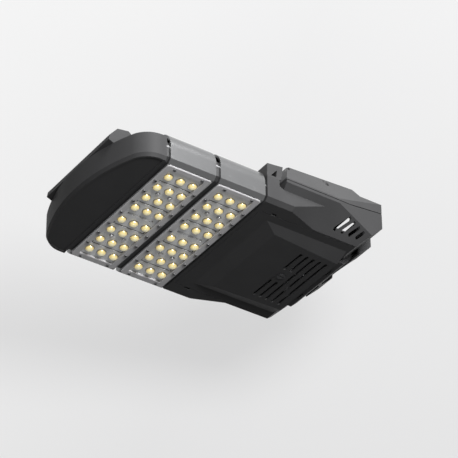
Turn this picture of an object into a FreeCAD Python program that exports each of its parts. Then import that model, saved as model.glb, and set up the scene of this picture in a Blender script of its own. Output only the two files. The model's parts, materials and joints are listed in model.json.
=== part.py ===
import FreeCAD, Part
import math
import os
import re

import Sketcher

# Modular street light head: a nose cap, two finned light modules and a driver housing
# are drawn together by tie rods, and the housing slips onto a horizontal pole arm.
# Each piece is drawn with X = 0 at the rear face of the housing's tail and growing
# towards the nose, Y = 0 on the centre line and Z = 0 at the underside of the castings.
# Every piece is then moved so that the origin lies on the pole socket's axis, where the
# bore becomes a full circle.

doc = FreeCAD.newDocument("street_light_head")
sheet = doc.addObject("Spreadsheet::Sheet", "Sizes")

sizes = {
    # Chain of lengths from the tail to the nose
    "tail_reach": (20.0, "rear wall of the housing ahead of the tail's rear face"),
    "housing_length": (212.0, "rear wall to front face of the driver housing"),
    "housing_gap": (3.6, "between the housing and the first module"),
    "module_width": (75.0, "one light module along the lamp"),
    "module_gap": (7.8, "between the two modules"),
    "nose_gap": (6.2, "between the last module and the nose cap"),
    "nose_length": (65.4, "length of the nose cap"),
    # Cross section shared by the modules, the nose and the housing's cheeks
    "side_half": (135.2, "half width over the modules"),
    "edge_drop": (5.6, "height of the sloping lower edge"),
    "lean": (41.0, "lean of the housing's lower sides from upright, degrees"),
    # Pole socket
    "bore_radius": (30.5, "bore for a pole end of 60 mm"),
    "axis_height": (46.0, "bore axis above the underside"),
    "socket_wall": (4.5, "wall of the socket tube"),
    "socket_end": (105.0, "inner end of the socket tube"),
    "stop_thick": (4.0, "plate that stops the pole end"),
    "clamp_first": (76.0, "first clamp bolt from the rear face"),
    "clamp_pitch": (20.0, "between the two clamp bolts"),
    "clamp_radius": (4.0, "clamp bolt shank"),
    # Tail
    "tail_half": (65.6, "half width of the tail"),
    "tail_foot": (51.0, "start of the tail's slope"),
    "tail_rise": (50.0, "height of the tail's slope at its rear face"),
    "tail_top": (80.6, "top of the tail"),
    # Driver housing and its top cover
    "wall": (3.0, "wall of the castings"),
    "floor": (5.2, "rim under the housing"),
    "ramp_foot": (62.0, "start of the housing's rear slope"),
    "ramp_rise": (42.0, "height of the rear slope at the rear wall"),
    "foot_half": (111.0, "half width of the underside at the rear"),
    "foot_front": (129.6, "half width of the underside at the front"),
    "foot_turn": (49.6, "length over which the underside narrows"),
    "turn_end": (136.8, "rear end of that narrowing"),
    "wing_half": (143.2, "half width at the widest"),
    "wing_end": (112.0, "rear end of the widest stretch"),
    "wing_front": (204.0, "front end of the widest stretch"),
    "rear_half": (120.0, "half width at the rear wall"),
    "cheek_height": (27.8, "top of the upright cheeks"),
    "front_height": (42.6, "top of the front beam"),
    "front_depth": (21.0, "front beam along the lamp"),
    "step_height": (31.4, "foot of the step behind the front beam"),
    "step_run": (8.4, "slope behind that step, along the lamp"),
    "parting_height": (41.5, "joint between housing and top cover"),
    "parting_turn": (89.0, "where the joint turns up at the rear"),
    "parting_turn_height": (46.6, "height of the joint at that turn"),
    "parting_rear_height": (67.8, "height of the joint at the rear wall"),
    "band": (3.7, "upright band above the joint"),
    "cover_lean": (0.589, "inward run of the top cover's sides for each mm of height"),
    "cover_front_run": (18.0, "backward slope of the top cover's front"),
    "cover_front_top": (85.0, "top of the cover at its front"),
    "cover_rear_top": (98.0, "top of the cover before its rear step"),
    "deck_top": (84.4, "top of the rear deck"),
    "step_front": (66.0, "front of the rear step"),
    "step_back": (58.0, "back of the rear step"),
    "window_length": (20.0, "vent window in the rear deck, along the lamp"),
    "window_inner": (38.0, "inner end of that window"),
    "window_outer": (82.0, "outer end of that window"),
    "window_rear": (3.2, "window behind the inside of the rear wall"),
    "seal_thick": (1.2, "gasket under the top cover"),
    "seal_inset": (1.3, "gasket behind the outer face"),
    "column_radius": (5.4, "screw columns"),
    "column_front": (188.0, "front screw columns along the lamp"),
    "column_middle": (120.0, "middle screw columns along the lamp"),
    "column_half": (121.0, "front and middle screw columns across"),
    "column_rear": (31.0, "rear screw columns along the lamp"),
    "column_rear_half": (104.0, "rear screw columns across"),
    "cover_screw_radius": (2.0, "screws of the top cover"),
    "screw_grip": (12.0, "thread of those screws in the housing"),
    "well_floor": (6.0, "seat of those screws above the joint"),
    "well_radius": (4.4, "well over each screw"),
    # Vent slots through the housing's sides
    "vent_first": (104.8, "foot of the longest side vent from the rear face"),
    "vent_pitch": (12.9, "between side vents"),
    "vent_width": (4.4, "vent slots"),
    "vent_low": (9.5, "foot of the side vents"),
    "vent_length": (23.0, "longest side vent in side view"),
    "vent_shorter": (4.4, "each vent is shorter than the one in front by this"),
    "vent_slant": (46.0, "slant of the side vents from upright, degrees"),
    # Front wall
    "lead_half": (42.0, "glands of the module leads across"),
    "lead_height": (20.0, "glands above the underside"),
    "lead_radius": (6.0, "holes for the glands"),
    # Hinged driver cover
    "door_thick": (3.0, "driver cover plate"),
    "door_half": (107.6, "half width of the driver cover"),
    "door_front": (226.0, "front edge of the driver cover"),
    "door_play": (0.5, "around the driver cover"),
    "ledge": (4.0, "rim that the driver cover closes on"),
    "hinge_back": (3.8, "hinge axis behind the driver cover's rear edge"),
    "hinge_height": (3.2, "hinge axis above the underside"),
    "hinge_half": (36.0, "hinges across"),
    "knuckle_length": (14.0, "knuckle of the driver cover"),
    "pin_radius": (1.2, "hinge pins"),
    "pin_length": (30.0, "hinge pins"),
    "pin_play": (0.08, "around the hinge pins"),
    "bulge_front": (204.0, "front of the raised panel"),
    "bulge_half": (93.0, "half width of the raised panel at its foot"),
    "bulge_slope_front": (35.1, "run of the panel's front slope"),
    "bulge_slope_side": (22.5, "run of the panel's side slopes"),
    "bulge_depth": (9.0, "depth of the raised panel at its rear"),
    "bulge_front_depth": (6.0, "depth of the raised panel at its front"),
    "slot_first": (77.8, "rearmost cover slot from the rear face"),
    "slot_pitch": (10.9, "between cover slots"),
    "slot_half": (61.0, "half length of the cover slots"),
    "slot_inner": (16.0, "inner end of the two divided slots"),
    "lock_x": (115.0, "cover lock from the rear face"),
    "lock_radius": (6.4, "head of the cover lock"),
    "lock_shank": (3.0, "shank of the cover lock"),
    "lock_seat": (10.0, "underside of the post that the lock enters"),
    "lock_reach": (4.0, "lock inside the post"),
    "lock_rim": (1.6, "rim round the head of the cover lock"),
    "lock_head": (2.4, "head of the cover lock"),
    "lock_room": (1.2, "around the lock's shank, so that the cover can swing"),
    "notch_front": (208.0, "front of the finger notches beside the driver cover"),
    "notch_length": (8.0, "finger notches along the lamp"),
    "notch_width": (4.0, "finger notches across"),
    "notch_depth": (2.0, "depth of the finger notches"),
    # Light module
    "row_pitch": (28.3, "between lens rows"),
    "row_split": (34.6, "between the two middle lens rows"),
    "column_pitch": (20.0, "between lens columns"),
    "dome_radius": (6.2, "lens dome"),
    "dome_height": (5.0, "lens dome below the plate"),
    "sink_height": (61.0, "top of the fins"),
    "sink_round": (34.0, "rounding of the module's upper ends"),
    "sink_base": (12.0, "top of the heat sink's base"),
    "fin_pitch": (12.0, "between fins"),
    "fin_thick": (2.4, "fin"),
    "fin_span": (102.0, "half width of the finned stretch"),
    "bezel_width": (72.0, "bezel along the lamp"),
    "bezel_length": (255.4, "bezel across the lamp"),
    "bezel_open_width": (53.2, "bezel opening along the lamp"),
    "bezel_open_length": (234.6, "bezel opening across the lamp"),
    "bezel_low": (1.6, "bezel face below the castings"),
    "plate_face": (0.8, "lens plate face above the underside"),
    "plate_thick": (2.2, "lens plate"),
    "plate_width": (58.0, "lens plate along the lamp"),
    "plate_length": (240.0, "lens plate across the lamp"),
    "gasket_thick": (1.4, "lens gasket"),
    "gasket_width": (1.8, "lens gasket"),
    "board_thick": (1.6, "led board"),
    "chip_side": (3.4, "led chip"),
    "chip_height": (1.4, "led chip"),
    "seat_play": (0.3, "between a part and its recess"),
    "bezel_screw_side": (31.7, "bezel screws from the module's centre, along the lamp"),
    "bezel_screw_end": (122.7, "end screws from the module's centre, across"),
    "bezel_screw_near": (22.7, "end screws from the module's centre, along the lamp"),
    "bezel_screw_shift": (3.15, "side screws of the bezel before the even steps, across"),
    "screw_radius": (1.5, "small screws"),
    "screw_head": (2.7, "head radius of the small screws"),
    "screw_head_height": (1.6, "head height of the small screws"),
    "screw_play": (0.1, "around the screws"),
    "screw_reach": (9.5, "tips of the small screws above the underside"),
    "bezel_round": (4.0, "corners of the bezel"),
    "bezel_bevel": (0.8, "bevel of the bezel"),
    "dome_round": (4.9, "rounding of the lens domes"),
    "board_screw_x": (10.0, "board screws from the module's centre"),
    # Tie rods and locating pins
    "rod_radius": (3.0, "tie rods"),
    "rod_half": (116.0, "tie rods across"),
    "rod_height": (26.0, "tie rods and pins above the underside"),
    "rod_play": (0.25, "around the tie rods"),
    "rod_nut": (5.0, "nuts of the tie rods"),
    "rod_grip": (16.0, "tie rods inside the nose cap"),
    "pin_half": (130.4, "locating pins across"),
    "locator_radius": (2.0, "locating pins"),
    "locator_depth": (3.0, "locating pins into each casting"),
    "spacer_inset": (4.0, "spacers behind the outer faces"),
    "spacer_height": (52.0, "top of the spacers"),
    # Cross bar
    "bar_height": (25.4, "cross bar"),
    "bar_depth": (28.0, "cross bar along the lamp"),
    "bar_half": (134.0, "half length of the cross bar"),
    "bar_wall": (2.6, "walls of the cross bar"),
    "bar_screw_radius": (2.0, "screws of the cross bar"),
    "bar_screw_x": (8.0, "those screws ahead of the front beam's back"),
    "bar_screw_inner": (30.0, "inner screws of the cross bar, across"),
    "bar_screw_outer": (96.0, "outer screws of the cross bar, across"),
    # Nose cap
    "nose_bow": (288.0, "radius of the nose in plan"),
    "nose_round": (38.0, "corner radius of the nose in plan"),
    "nose_wall_height": (40.0, "upright wall of the nose"),
    "nose_foot_run": (2.6, "inward run of the nose's lower edge"),
    "nose_crown": (55.0, "top of the nose cap"),
    "nose_crown_run": (26.0, "run of the slope up to that top"),
    "nose_recess": (1.0, "sunk field under the nose"),
    "nose_rim": (3.4, "rim round that field"),
    "hood_half": (82.0, "half width of the nose hood"),
    "hood_foot_back": (12.0, "foot of the hood's front behind the nose tip"),
    "hood_lip_back": (4.0, "lip of the hood behind the nose tip"),
    "hood_lip_rise": (3.5, "lip of the hood above the nose's wall"),
    "hood_brow_back": (5.5, "brow of the hood behind the nose tip"),
    "hood_brow_rise": (12.0, "brow of the hood above the nose's wall"),
    "hood_crown_back": (18.0, "front of the hood's crown behind the nose tip"),
    "hood_crown_rise": (27.0, "front of the hood's crown above the nose's wall"),
    "hood_top_back": (36.0, "rear of the hood's crown behind the nose tip"),
    "hood_top_rise": (30.0, "rear of the hood's crown above the nose's wall"),
    "hood_rear_back": (41.0, "rear edge of the hood behind the nose tip"),
    "hood_rear_rise": (26.0, "rear edge of the hood above the nose's wall"),
    # Driver and its tray
    "tray_height": (38.0, "underside of the driver tray"),
    "tray_thick": (1.5, "driver tray"),
    "tray_rear": (124.0, "rear edge of the driver tray"),
    "tray_front": (198.0, "front edge of the driver tray"),
    "tray_half": (114.5, "half width of the driver tray"),
    "pillar_half": (110.0, "pillars under the driver tray, across"),
    "pillar_radius": (4.0, "pillars under the driver tray"),
    "pillar_rear": (134.0, "rear pillars along the lamp"),
    "pillar_front": (192.0, "front pillars along the lamp"),
    "cable_radius": (7.0, "hole for the mains cable in the stop plate"),
    "cable_rise": (13.0, "that hole above the bore's axis"),
    "driver_length": (138.0, "led driver across the lamp"),
    "driver_width": (56.0, "led driver along the lamp"),
    "driver_height": (30.0, "led driver"),
    "driver_rear": (133.0, "rear side of the led driver"),
    "driver_side": (-90.0, "end of the led driver across the lamp"),
    "driver_edge": (2.0, "bevel of the driver's lower edges"),
    "ear": (10.0, "mounting ears of the driver"),
    "terminal_rear": (142.0, "rear side of the terminal block"),
    "terminal_depth": (18.0, "terminal block along the lamp and in height"),
    "terminal_side": (62.0, "inner side of the terminal block"),
    "terminal_width": (30.0, "terminal block across the lamp"),
    "terminal_mouth": (2.6, "wire entries"),
    "surge_rear": (164.0, "rear side of the surge protector"),
    "surge_length": (28.0, "surge protector along the lamp"),
    "surge_height": (24.0, "surge protector"),
    "clamp_x": (131.0, "cable clamp along the lamp"),
    "clamp_y": (77.0, "cable clamp across the lamp"),
    "clamp_span": (28.0, "length of the cable clamp"),
    "clamp_bar": (6.0, "section of the cable clamp"),
    "clamp_nut": (4.0, "lock nuts of the pole clamp"),
}

for row, (alias, (number, words)) in enumerate(sizes.items(), start=1):
    sheet.set(f"A{row}", words)
    sheet.set(f"B{row}", str(number))
    sheet.setAlias(f"B{row}", alias)
doc.recompute()


def link(expression):
    """Point each size name in an expression at its cell."""
    return re.sub(r"[a-z_]+", lambda word: "Sizes." * (word[0] in sizes) + word[0], str(expression))


def value(expression):
    """The number that an expression gives now."""
    return float(sheet.evalExpression(link(expression)))


# Places that several pieces share, as expressions of the sizes
rear_wall = "tail_reach"
front_face = "(tail_reach + housing_length)"
module_centres = {
    "rear": f"({front_face} + housing_gap + module_width / 2)",
    "front": f"({front_face} + housing_gap + module_width * 1.5 + module_gap)",
}
modules_end = f"({front_face} + housing_gap + module_width * 2 + module_gap)"
nose_back = f"({modules_end} + nose_gap)"
nose_tip = f"({nose_back} + nose_length)"
mouth = "(tail_foot * (1 - (axis_height - bore_radius) / tail_rise))"
beam_back = f"({front_face} - front_depth)"
hinge_x = "(ramp_foot - hinge_back)"
tail_round = "(hinge_height - door_play / 5)"
slope = "tan(lean)"
socket_outer = "(bore_radius + socket_wall)"
plate_back = "(plate_face + plate_thick)"
board_seat = "(plate_face + plate_thick + gasket_thick)"
pieces = []

# Small screws, their holes and the lens domes repeat often, so they have few flat sides
shank_sides = 6
head_sides = 8
dome_sides = 10
dome_steps = (35, 65, 90)


def keep(item, label, along="0"):
    """Name a finished piece and move it into the lamp's own frame."""
    item.Label = label
    item.setExpression(".Placement.Base.x", link(f"{along} - {mouth}"))
    item.setExpression(".Placement.Base.z", link("-axis_height"))
    pieces.append(item)
    return item


def keep_shape(shape, label, along="0"):
    """Keep a group of like solids as one piece."""
    item = doc.addObject("Part::Feature", label + "_shape")
    item.Shape = shape
    return keep(item, label, along)


def sketch(body, role, name, lift="0"):
    """A sketch on one of the body's own origin planes."""
    new = body.newObject("Sketcher::SketchObject", name)
    plane = next(item for item in body.Origin.OriginFeatures if item.Role == role)
    new.AttachmentSupport = (plane, [""])
    new.MapMode = "FlatFace"
    new.setExpression(".AttachmentOffset.Base.z", link(lift))
    return new


def fix(drawing, kind, geometry, point, expression):
    """Tie one coordinate or radius of a sketch to the sizes."""
    if kind == "Radius":
        constraint = Sketcher.Constraint(kind, geometry, value(expression))
    else:
        constraint = Sketcher.Constraint(kind, geometry, point, value(expression))
    index = drawing.addConstraint(constraint)
    drawing.setExpression(f"Constraints[{index}]", link(expression))


def outline(drawing, corners):
    """A closed outline of straight lines through corners given as expressions."""
    first = drawing.GeometryCount
    count = len(corners)
    points = [FreeCAD.Vector(value(across), value(up), 0) for across, up in corners]
    for index in range(count):
        drawing.addGeometry(Part.LineSegment(points[index], points[(index + 1) % count]), False)
    for index in range(count):
        following = first + (index + 1) % count
        drawing.addConstraint(Sketcher.Constraint("Coincident", first + index, 2, following, 1))
    for index, (across, up) in enumerate(corners):
        fix(drawing, "DistanceX", first + index, 1, across)
        fix(drawing, "DistanceY", first + index, 1, up)


def rectangle(drawing, low_x, high_x, low_y, high_y):
    """A closed rectangle."""
    outline(drawing, [(low_x, low_y), (high_x, low_y), (high_x, high_y), (low_x, high_y)])


def circle(drawing, across, up, radius):
    """A circle by centre and radius."""
    centre = FreeCAD.Vector(value(across), value(up), 0)
    ring = Part.Circle(centre, FreeCAD.Vector(0, 0, 1), value(radius))
    index = drawing.addGeometry(ring, False)
    fix(drawing, "DistanceX", index, 3, across)
    fix(drawing, "DistanceY", index, 3, up)
    fix(drawing, "Radius", index, 0, radius)


def long_hole(drawing, start, end, width):
    """A slot with round ends between two end centres."""
    half = value(width) / 2
    low = FreeCAD.Vector(value(start[0]), value(start[1]), 0)
    high = FreeCAD.Vector(value(end[0]), value(end[1]), 0)
    normal = FreeCAD.Vector(0, 0, 1)
    heading = math.atan2(high.y - low.y, high.x - low.x)
    side = FreeCAD.Vector(math.sin(heading), -math.cos(heading), 0) * half
    low_ring = Part.Circle(low, normal, half)
    high_ring = Part.Circle(high, normal, half)
    quarter = math.pi / 2
    first = drawing.addGeometry(Part.ArcOfCircle(low_ring, heading + quarter, heading + 3 * quarter), False)
    second = drawing.addGeometry(Part.ArcOfCircle(high_ring, heading - quarter, heading + quarter), False)
    right = drawing.addGeometry(Part.LineSegment(low + side, high + side), False)
    left = drawing.addGeometry(Part.LineSegment(high - side, low - side), False)
    for one, one_end, other, other_end in (
        (first, 2, right, 1),
        (right, 2, second, 1),
        (second, 2, left, 1),
        (left, 2, first, 1),
    ):
        drawing.addConstraint(Sketcher.Constraint("Tangent", one, one_end, other, other_end))
    fix(drawing, "DistanceX", first, 3, start[0])
    fix(drawing, "DistanceY", first, 3, start[1])
    fix(drawing, "DistanceX", second, 3, end[0])
    fix(drawing, "DistanceY", second, 3, end[1])
    fix(drawing, "Radius", first, 0, f"{width} / 2")


def pad(body, name, profile, length, midplane=False, reverse=False):
    """Add material along the sketch's normal."""
    feature = body.newObject("PartDesign::Pad", name)
    feature.Profile = profile
    feature.Midplane = midplane
    feature.Reversed = reverse
    feature.setExpression("Length", link(length))
    doc.recompute()
    return feature


def pocket(body, name, profile, length, midplane=False, reverse=False, taper=None):
    """Remove material, and stop if nothing was removed."""
    before = body.Shape.Volume
    feature = body.newObject("PartDesign::Pocket", name)
    feature.Profile = profile
    feature.Midplane = midplane
    feature.Reversed = reverse
    feature.setExpression("Length", link(length))
    if taper:
        feature.setExpression("TaperAngle", link(taper))
    doc.recompute()
    if not body.Shape.Volume < before - 0.01:
        raise RuntimeError(f"{body.Name}: {name} removes nothing")
    return feature


def edges_where(feature, test):
    """Names of the feature's edges whose ends all pass a test."""
    names = []
    for number, edge in enumerate(feature.Shape.Edges, start=1):
        if edge.Vertexes and all(test(vertex.Point) for vertex in edge.Vertexes):
            names.append(f"Edge{number}")
    return names


def fillet(body, name, base, names, radius):
    """Round the named edges of a feature."""
    feature = body.newObject("PartDesign::Fillet", name)
    feature.Base = (base, names)
    feature.setExpression("Radius", link(radius))
    doc.recompute()
    return feature


def chamfer(body, name, base, names, size):
    """Bevel the named edges of a feature."""
    feature = body.newObject("PartDesign::Chamfer", name)
    feature.Base = (base, names)
    feature.setExpression("Size", link(size))
    doc.recompute()
    return feature


def new_body(name):
    """An empty body."""
    return doc.addObject("PartDesign::Body", name)


def near(one, other):
    """Whether two lengths are the same."""
    return abs(one - other) < 0.01


def join(kind, name, base, tool):
    """Cut, fuse or intersect two objects."""
    result = doc.addObject(f"Part::{kind}", name)
    result.Base = base
    result.Tool = tool
    doc.recompute()
    return result


def cylinder(radius, length, place, direction):
    """A round solid from its size names, for groups of like parts."""
    start = FreeCAD.Vector(*place)
    return Part.makeCylinder(value(radius), value(length), start, FreeCAD.Vector(*direction))


def polygon(sides, corner, height):
    """Corners of an even polygon round the Z axis."""
    turns = [2 * math.pi * step / sides for step in range(sides)]
    return [FreeCAD.Vector(corner * math.cos(turn), corner * math.sin(turn), height) for turn in turns]


def prism(sides, corner, length, place, direction):
    """An upright prism with a corner radius, for nuts, small screws and their holes."""
    axis = FreeCAD.Vector(*direction)
    turn = FreeCAD.Rotation(FreeCAD.Vector(0, 0, 1), axis)
    base = FreeCAD.Vector(*place)
    ring = [base + turn.multVec(point) for point in polygon(sides, corner, 0)]
    return Part.Face(Part.makePolygon(ring + ring[:1])).extrude(axis * length)


def drill(name, base, places, low, length, radius):
    """Cut a group of small upright holes into an object."""
    cutter = doc.addObject("Part::Feature", name + "_drill")
    holes = []
    for along, across in places:
        place = (value(along), value(across), value(low))
        holes.append(prism(shank_sides, value(radius), value(length), place, (0, 0, 1)))
    cutter.Shape = Part.makeCompound(holes)
    return join("Cut", name, base, cutter)


def row_places():
    """Lens rows across the module, from the middle outwards on both sides."""
    split, pitch = value("row_split"), value("row_pitch")
    outward = [split / 2 + pitch * index for index in range(4)]
    return [-place for place in reversed(outward)] + outward


# Driver housing

column_places = (
    ("column_front", "column_half"),
    ("column_middle", "column_half"),
    ("column_rear", "column_rear_half"),
)


def beside_plane(drawing, sign, foot):
    """Outline of all that lies outside one leaning side plane."""
    height = "front_height * 2"
    outline(drawing, [
        (f"{sign} * ({foot} - {height} * {slope})", f"-{height}"),
        (f"{sign} * ({foot} + {height} * {slope})", height),
        (f"{sign} * wing_half * 3", height),
        (f"{sign} * wing_half * 3", f"-{height}"),
    ])


def cut_shoulders(body, name, inset):
    """Bring the sides in towards the rear wall."""
    fall = "(wing_half - rear_half) / (wing_end - tail_reach)"
    for side, sign in (("left", "1"), ("right", "-1")):
        shoulder = sketch(body, "XY_Plane", f"{name}_{side}_shoulder_plan")
        outline(shoulder, [
            ("wing_end", f"{sign} * (wing_half - {inset})"),
            ("0", f"{sign} * (wing_half - {inset} - wing_end * {fall})"),
            ("0", f"{sign} * wing_half * 2"),
            ("wing_end", f"{sign} * wing_half * 2"),
        ])
        pocket(body, f"{name}_{side}_shoulder", shoulder, "deck_top * 2", reverse=True)


def lower_envelope(name, inset):
    """The housing's outer form, or with an inset the space inside its walls."""
    body = new_body(name)
    rise = f"({inset} / cos(lean))"
    back = f"(turn_end - foot_turn / 3 + {inset})"
    cheeks = sketch(body, "XZ_Plane", name + "_cheek_profile")
    outline(cheeks, [
        (back, "0"),
        (f"{front_face} - {inset}", "0"),
        (f"{front_face} - {inset}", f"front_height - {inset}"),
        (f"{beam_back} + {inset}", f"front_height - {inset}"),
        (f"{beam_back} + {inset}", f"step_height - {inset}"),
        (f"{beam_back} - step_run + {inset}", f"cheek_height - {inset}"),
        (back, f"cheek_height - {inset}"),
    ])
    pad(body, name + "_cheeks", cheeks, f"2 * (side_half - {inset})", midplane=True)
    turn = "atan((foot_front - foot_half) / foot_turn)"
    for side, sign in (("left", 1), ("right", -1)):
        strip = sketch(body, "YZ_Plane", f"{name}_{side}_edge_profile")
        beside_plane(strip, sign, f"foot_front - {rise}")
        pocket(body, f"{name}_{side}_edge", strip, f"{front_face} * 4", midplane=True)
        facet = sketch(body, "YZ_Plane", f"{name}_{side}_facet_profile", "turn_end")
        facet.setExpression(".AttachmentOffset.Base.x", link(f"{sign} * (foot_half - {rise})"))
        facet.AttachmentOffset = FreeCAD.Placement(
            facet.AttachmentOffset.Base, FreeCAD.Rotation(FreeCAD.Vector(0, 1, 0), 1)
        )
        facet.setExpression(".AttachmentOffset.Rotation.Angle", link(f"{sign} * {turn}"))
        beside_plane(facet, sign, "0")
        pocket(body, f"{name}_{side}_facet", facet, f"{front_face} * 4", midplane=True)
    wings = sketch(body, "YZ_Plane", name + "_wing_profile", f"{rear_wall} + {inset}")
    wing_height = f"((wing_half - foot_half + {rise} - {inset}) / {slope})"
    outline(wings, [
        (f"foot_half - {rise}", "0"),
        (f"wing_half - {inset}", wing_height),
        (f"wing_half - {inset}", "deck_top"),
        (f"-wing_half + {inset}", "deck_top"),
        (f"-wing_half + {inset}", wing_height),
        (f"-foot_half + {rise}", "0"),
    ])
    pad(body, name + "_wings", wings, f"wing_front - {rear_wall} - 2 * {inset}")
    ramp = sketch(body, "XZ_Plane", name + "_ramp_profile")
    ramp_run = "(ramp_foot - tail_reach)"
    ramp_shift = f"({inset} * sqrt({ramp_run} ^ 2 + ramp_rise ^ 2) / ramp_rise)"
    outline(ramp, [
        (f"ramp_foot + {ramp_shift}", "0"),
        (f"ramp_foot + {ramp_shift} - {ramp_run} * 2", "ramp_rise * 2"),
        (f"ramp_foot + {ramp_shift} - {ramp_run} * 3", "ramp_rise * 2"),
        (f"ramp_foot + {ramp_shift} - {ramp_run} * 3", "-tail_reach"),
        (f"ramp_foot + {ramp_shift}", "-tail_reach"),
    ])
    pocket(body, name + "_ramp", ramp, "wing_half * 4", midplane=True)
    cut_shoulders(body, name, inset)
    return body


def cut_parting(body, name, shift, above):
    """Cut away what lies above or below the joint line moved up by a shift."""
    limit = "deck_top * 3" if above else "-deck_top"
    parting = sketch(body, "XZ_Plane", name + "_parting_profile")
    outline(parting, [
        (f"{front_face} + tail_reach", f"parting_height + {shift}"),
        ("wing_end", f"parting_height + {shift}"),
        ("parting_turn", f"parting_turn_height + {shift}"),
        (rear_wall, f"parting_rear_height + {shift}"),
        ("-tail_reach", f"parting_rear_height + {shift}"),
        ("-tail_reach", limit),
        (f"{front_face} + tail_reach", limit),
    ])
    pocket(body, name + "_parting", parting, "wing_half * 4", midplane=True)


def cut_wings_top(body):
    """Lower the wings to the joint line and leave the front beam standing."""
    parting = sketch(body, "XZ_Plane", body.Name + "_joint_profile")
    outline(parting, [
        (f"{beam_back} - step_run / 4", "parting_height"),
        ("wing_end", "parting_height"),
        ("parting_turn", "parting_turn_height"),
        (rear_wall, "parting_rear_height"),
        ("-tail_reach", "parting_rear_height"),
        ("-tail_reach", "deck_top * 3"),
        (f"{beam_back} - step_run / 4", "deck_top * 3"),
    ])
    pocket(body, body.Name + "_joint", parting, "wing_half * 4", midplane=True)


def tail_form(name, inset):
    """The tail block round the pole socket, or the space inside its walls."""
    body = new_body(name)
    profile = sketch(body, "XZ_Plane", name + "_profile")
    slant = "sqrt(tail_foot ^ 2 + tail_rise ^ 2)"
    shift = f"({inset} * {slant} / tail_rise)"
    front = f"({hinge_x} + hinge_height - {inset})"
    outline(profile, [
        (front, inset),
        (f"tail_foot + {shift} - {inset} * tail_foot / tail_rise", inset),
        (inset, f"tail_rise + ({shift} - {inset}) * tail_rise / tail_foot"),
        (inset, f"tail_top - {inset}"),
        (front, f"tail_top - {inset}"),
    ])
    block = pad(body, name + "_block", profile, f"2 * (tail_half - {inset})", midplane=True)
    if inset == "0":
        nose_x = value(front)
        names = edges_where(block, lambda point: near(point.x, nose_x) and near(point.z, 0))
        fillet(body, name + "_hinge_round", block, names, tail_round)
        inside = sketch(body, "XZ_Plane", name + "_inside_profile")
        rectangle(inside, f"{rear_wall} + wall", "ramp_foot * 2", "floor * 2", "tail_top * 2")
        pocket(body, name + "_inside", inside, "wing_half * 4", midplane=True)
    return body


def socket_form():
    """Pole socket tube with its end plate, clamp bosses, web and the post of the cover lock."""
    body = new_body("socket_form")
    ring = sketch(body, "YZ_Plane", "socket_ring")
    circle(ring, "0", "axis_height", socket_outer)
    pad(body, "socket_tube", ring, "socket_end + stop_thick")
    post = sketch(body, "XZ_Plane", "lock_post_profile")
    outline(post, [
        ("socket_end", "lock_seat"),
        ("lock_x + lock_radius", "lock_seat"),
        ("lock_x + lock_radius", "lock_seat + stop_thick * 2"),
        ("socket_end + stop_thick", "axis_height"),
        ("socket_end", "axis_height"),
    ])
    pad(body, "lock_post", post, "lock_radius * 2.4", midplane=True)
    foot = sketch(body, "XY_Plane", "clamp_feet", "lock_seat")
    for index in range(2):
        circle(foot, f"clamp_first + clamp_pitch * {index}", "0", "clamp_radius * 2.2")
    pad(body, "clamp_bosses", foot, "axis_height - bore_radius - lock_seat")
    web = sketch(body, "YZ_Plane", "socket_web_profile", "tail_foot - wall")
    rectangle(web, "-tail_half + wall / 2", "tail_half - wall / 2", "wall / 2", "axis_height")
    pad(body, "socket_web", web, "wall")
    slant = sketch(body, "XZ_Plane", "socket_slope")
    outline(slant, [
        ("tail_foot", "0"),
        ("-tail_foot", "tail_rise * 2"),
        ("-tail_foot", "-tail_rise"),
        ("tail_foot", "-tail_rise"),
    ])
    pocket(body, "socket_end_cut", slant, "wing_half * 4", midplane=True)
    return body


def hinge_lugs():
    """Lugs on the tail that carry the two hinge pins."""
    body = new_body("hinge_lug_form")
    for index, sign in enumerate((1, -1)):
        plan = sketch(body, "XZ_Plane", f"lug_profile_{index}", f"{sign} * hinge_half")
        outline(plan, [
            (f"{hinge_x} - hinge_height * 1.4", "wall / 2"),
            (f"{hinge_x} + hinge_height", "wall / 2 + hinge_height"),
            (f"{hinge_x} + hinge_height", "hinge_height * 2.4"),
            (f"{hinge_x} - hinge_height * 1.4", "hinge_height * 2.4"),
        ])
        pad(body, f"lug_block_{index}", plan, "pin_length + 2 * pin_play", midplane=True)
    return body


def columns(name, low, radius):
    """Screw columns between the housing and its top cover."""
    body = new_body(name)
    plan = sketch(body, "XY_Plane", name + "_plan", low)
    for sign in (1, -1):
        for along, half in column_places:
            circle(plan, along, f"{sign} * {half}", radius)
    pad(body, name + "_length", plan, f"cover_rear_top - {low}")
    return body


def column_holes(name, radius, front_low, rear_low):
    """Holes down the six screw columns."""
    body = new_body(name)
    for label, low, places, half in (
        ("front", front_low, ("column_front", "column_middle"), "column_half"),
        ("rear", rear_low, ("column_rear",), "column_rear_half"),
    ):
        plan = sketch(body, "XY_Plane", f"{name}_{label}", low)
        for along in places:
            for sign in (1, -1):
                circle(plan, along, f"{sign} * {half}", radius)
        pad(body, f"{name}_{label}_depth", plan, "cover_rear_top * 2")
    return body


def side_vents():
    """Cutters for the slanted vent slots in both sides, longest in front."""
    body = new_body("side_vent_cutter")
    for side, sign in (("left", -1), ("right", 1)):
        face = sketch(body, "XZ_Plane", f"side_vents_{side}", f"{sign} * door_half")
        for index in range(4):
            foot = f"vent_first - vent_pitch * {index}"
            length = f"(vent_length - vent_shorter * {index})"
            long_hole(face, (foot, "vent_low"),
                      (f"{foot} - {length} * sin(vent_slant)", f"vent_low + {length} * cos(vent_slant)"),
                      "vent_width")
        pad(body, f"side_vent_depth_{side}", face, "wing_half", reverse=sign < 0)
    return body


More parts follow.
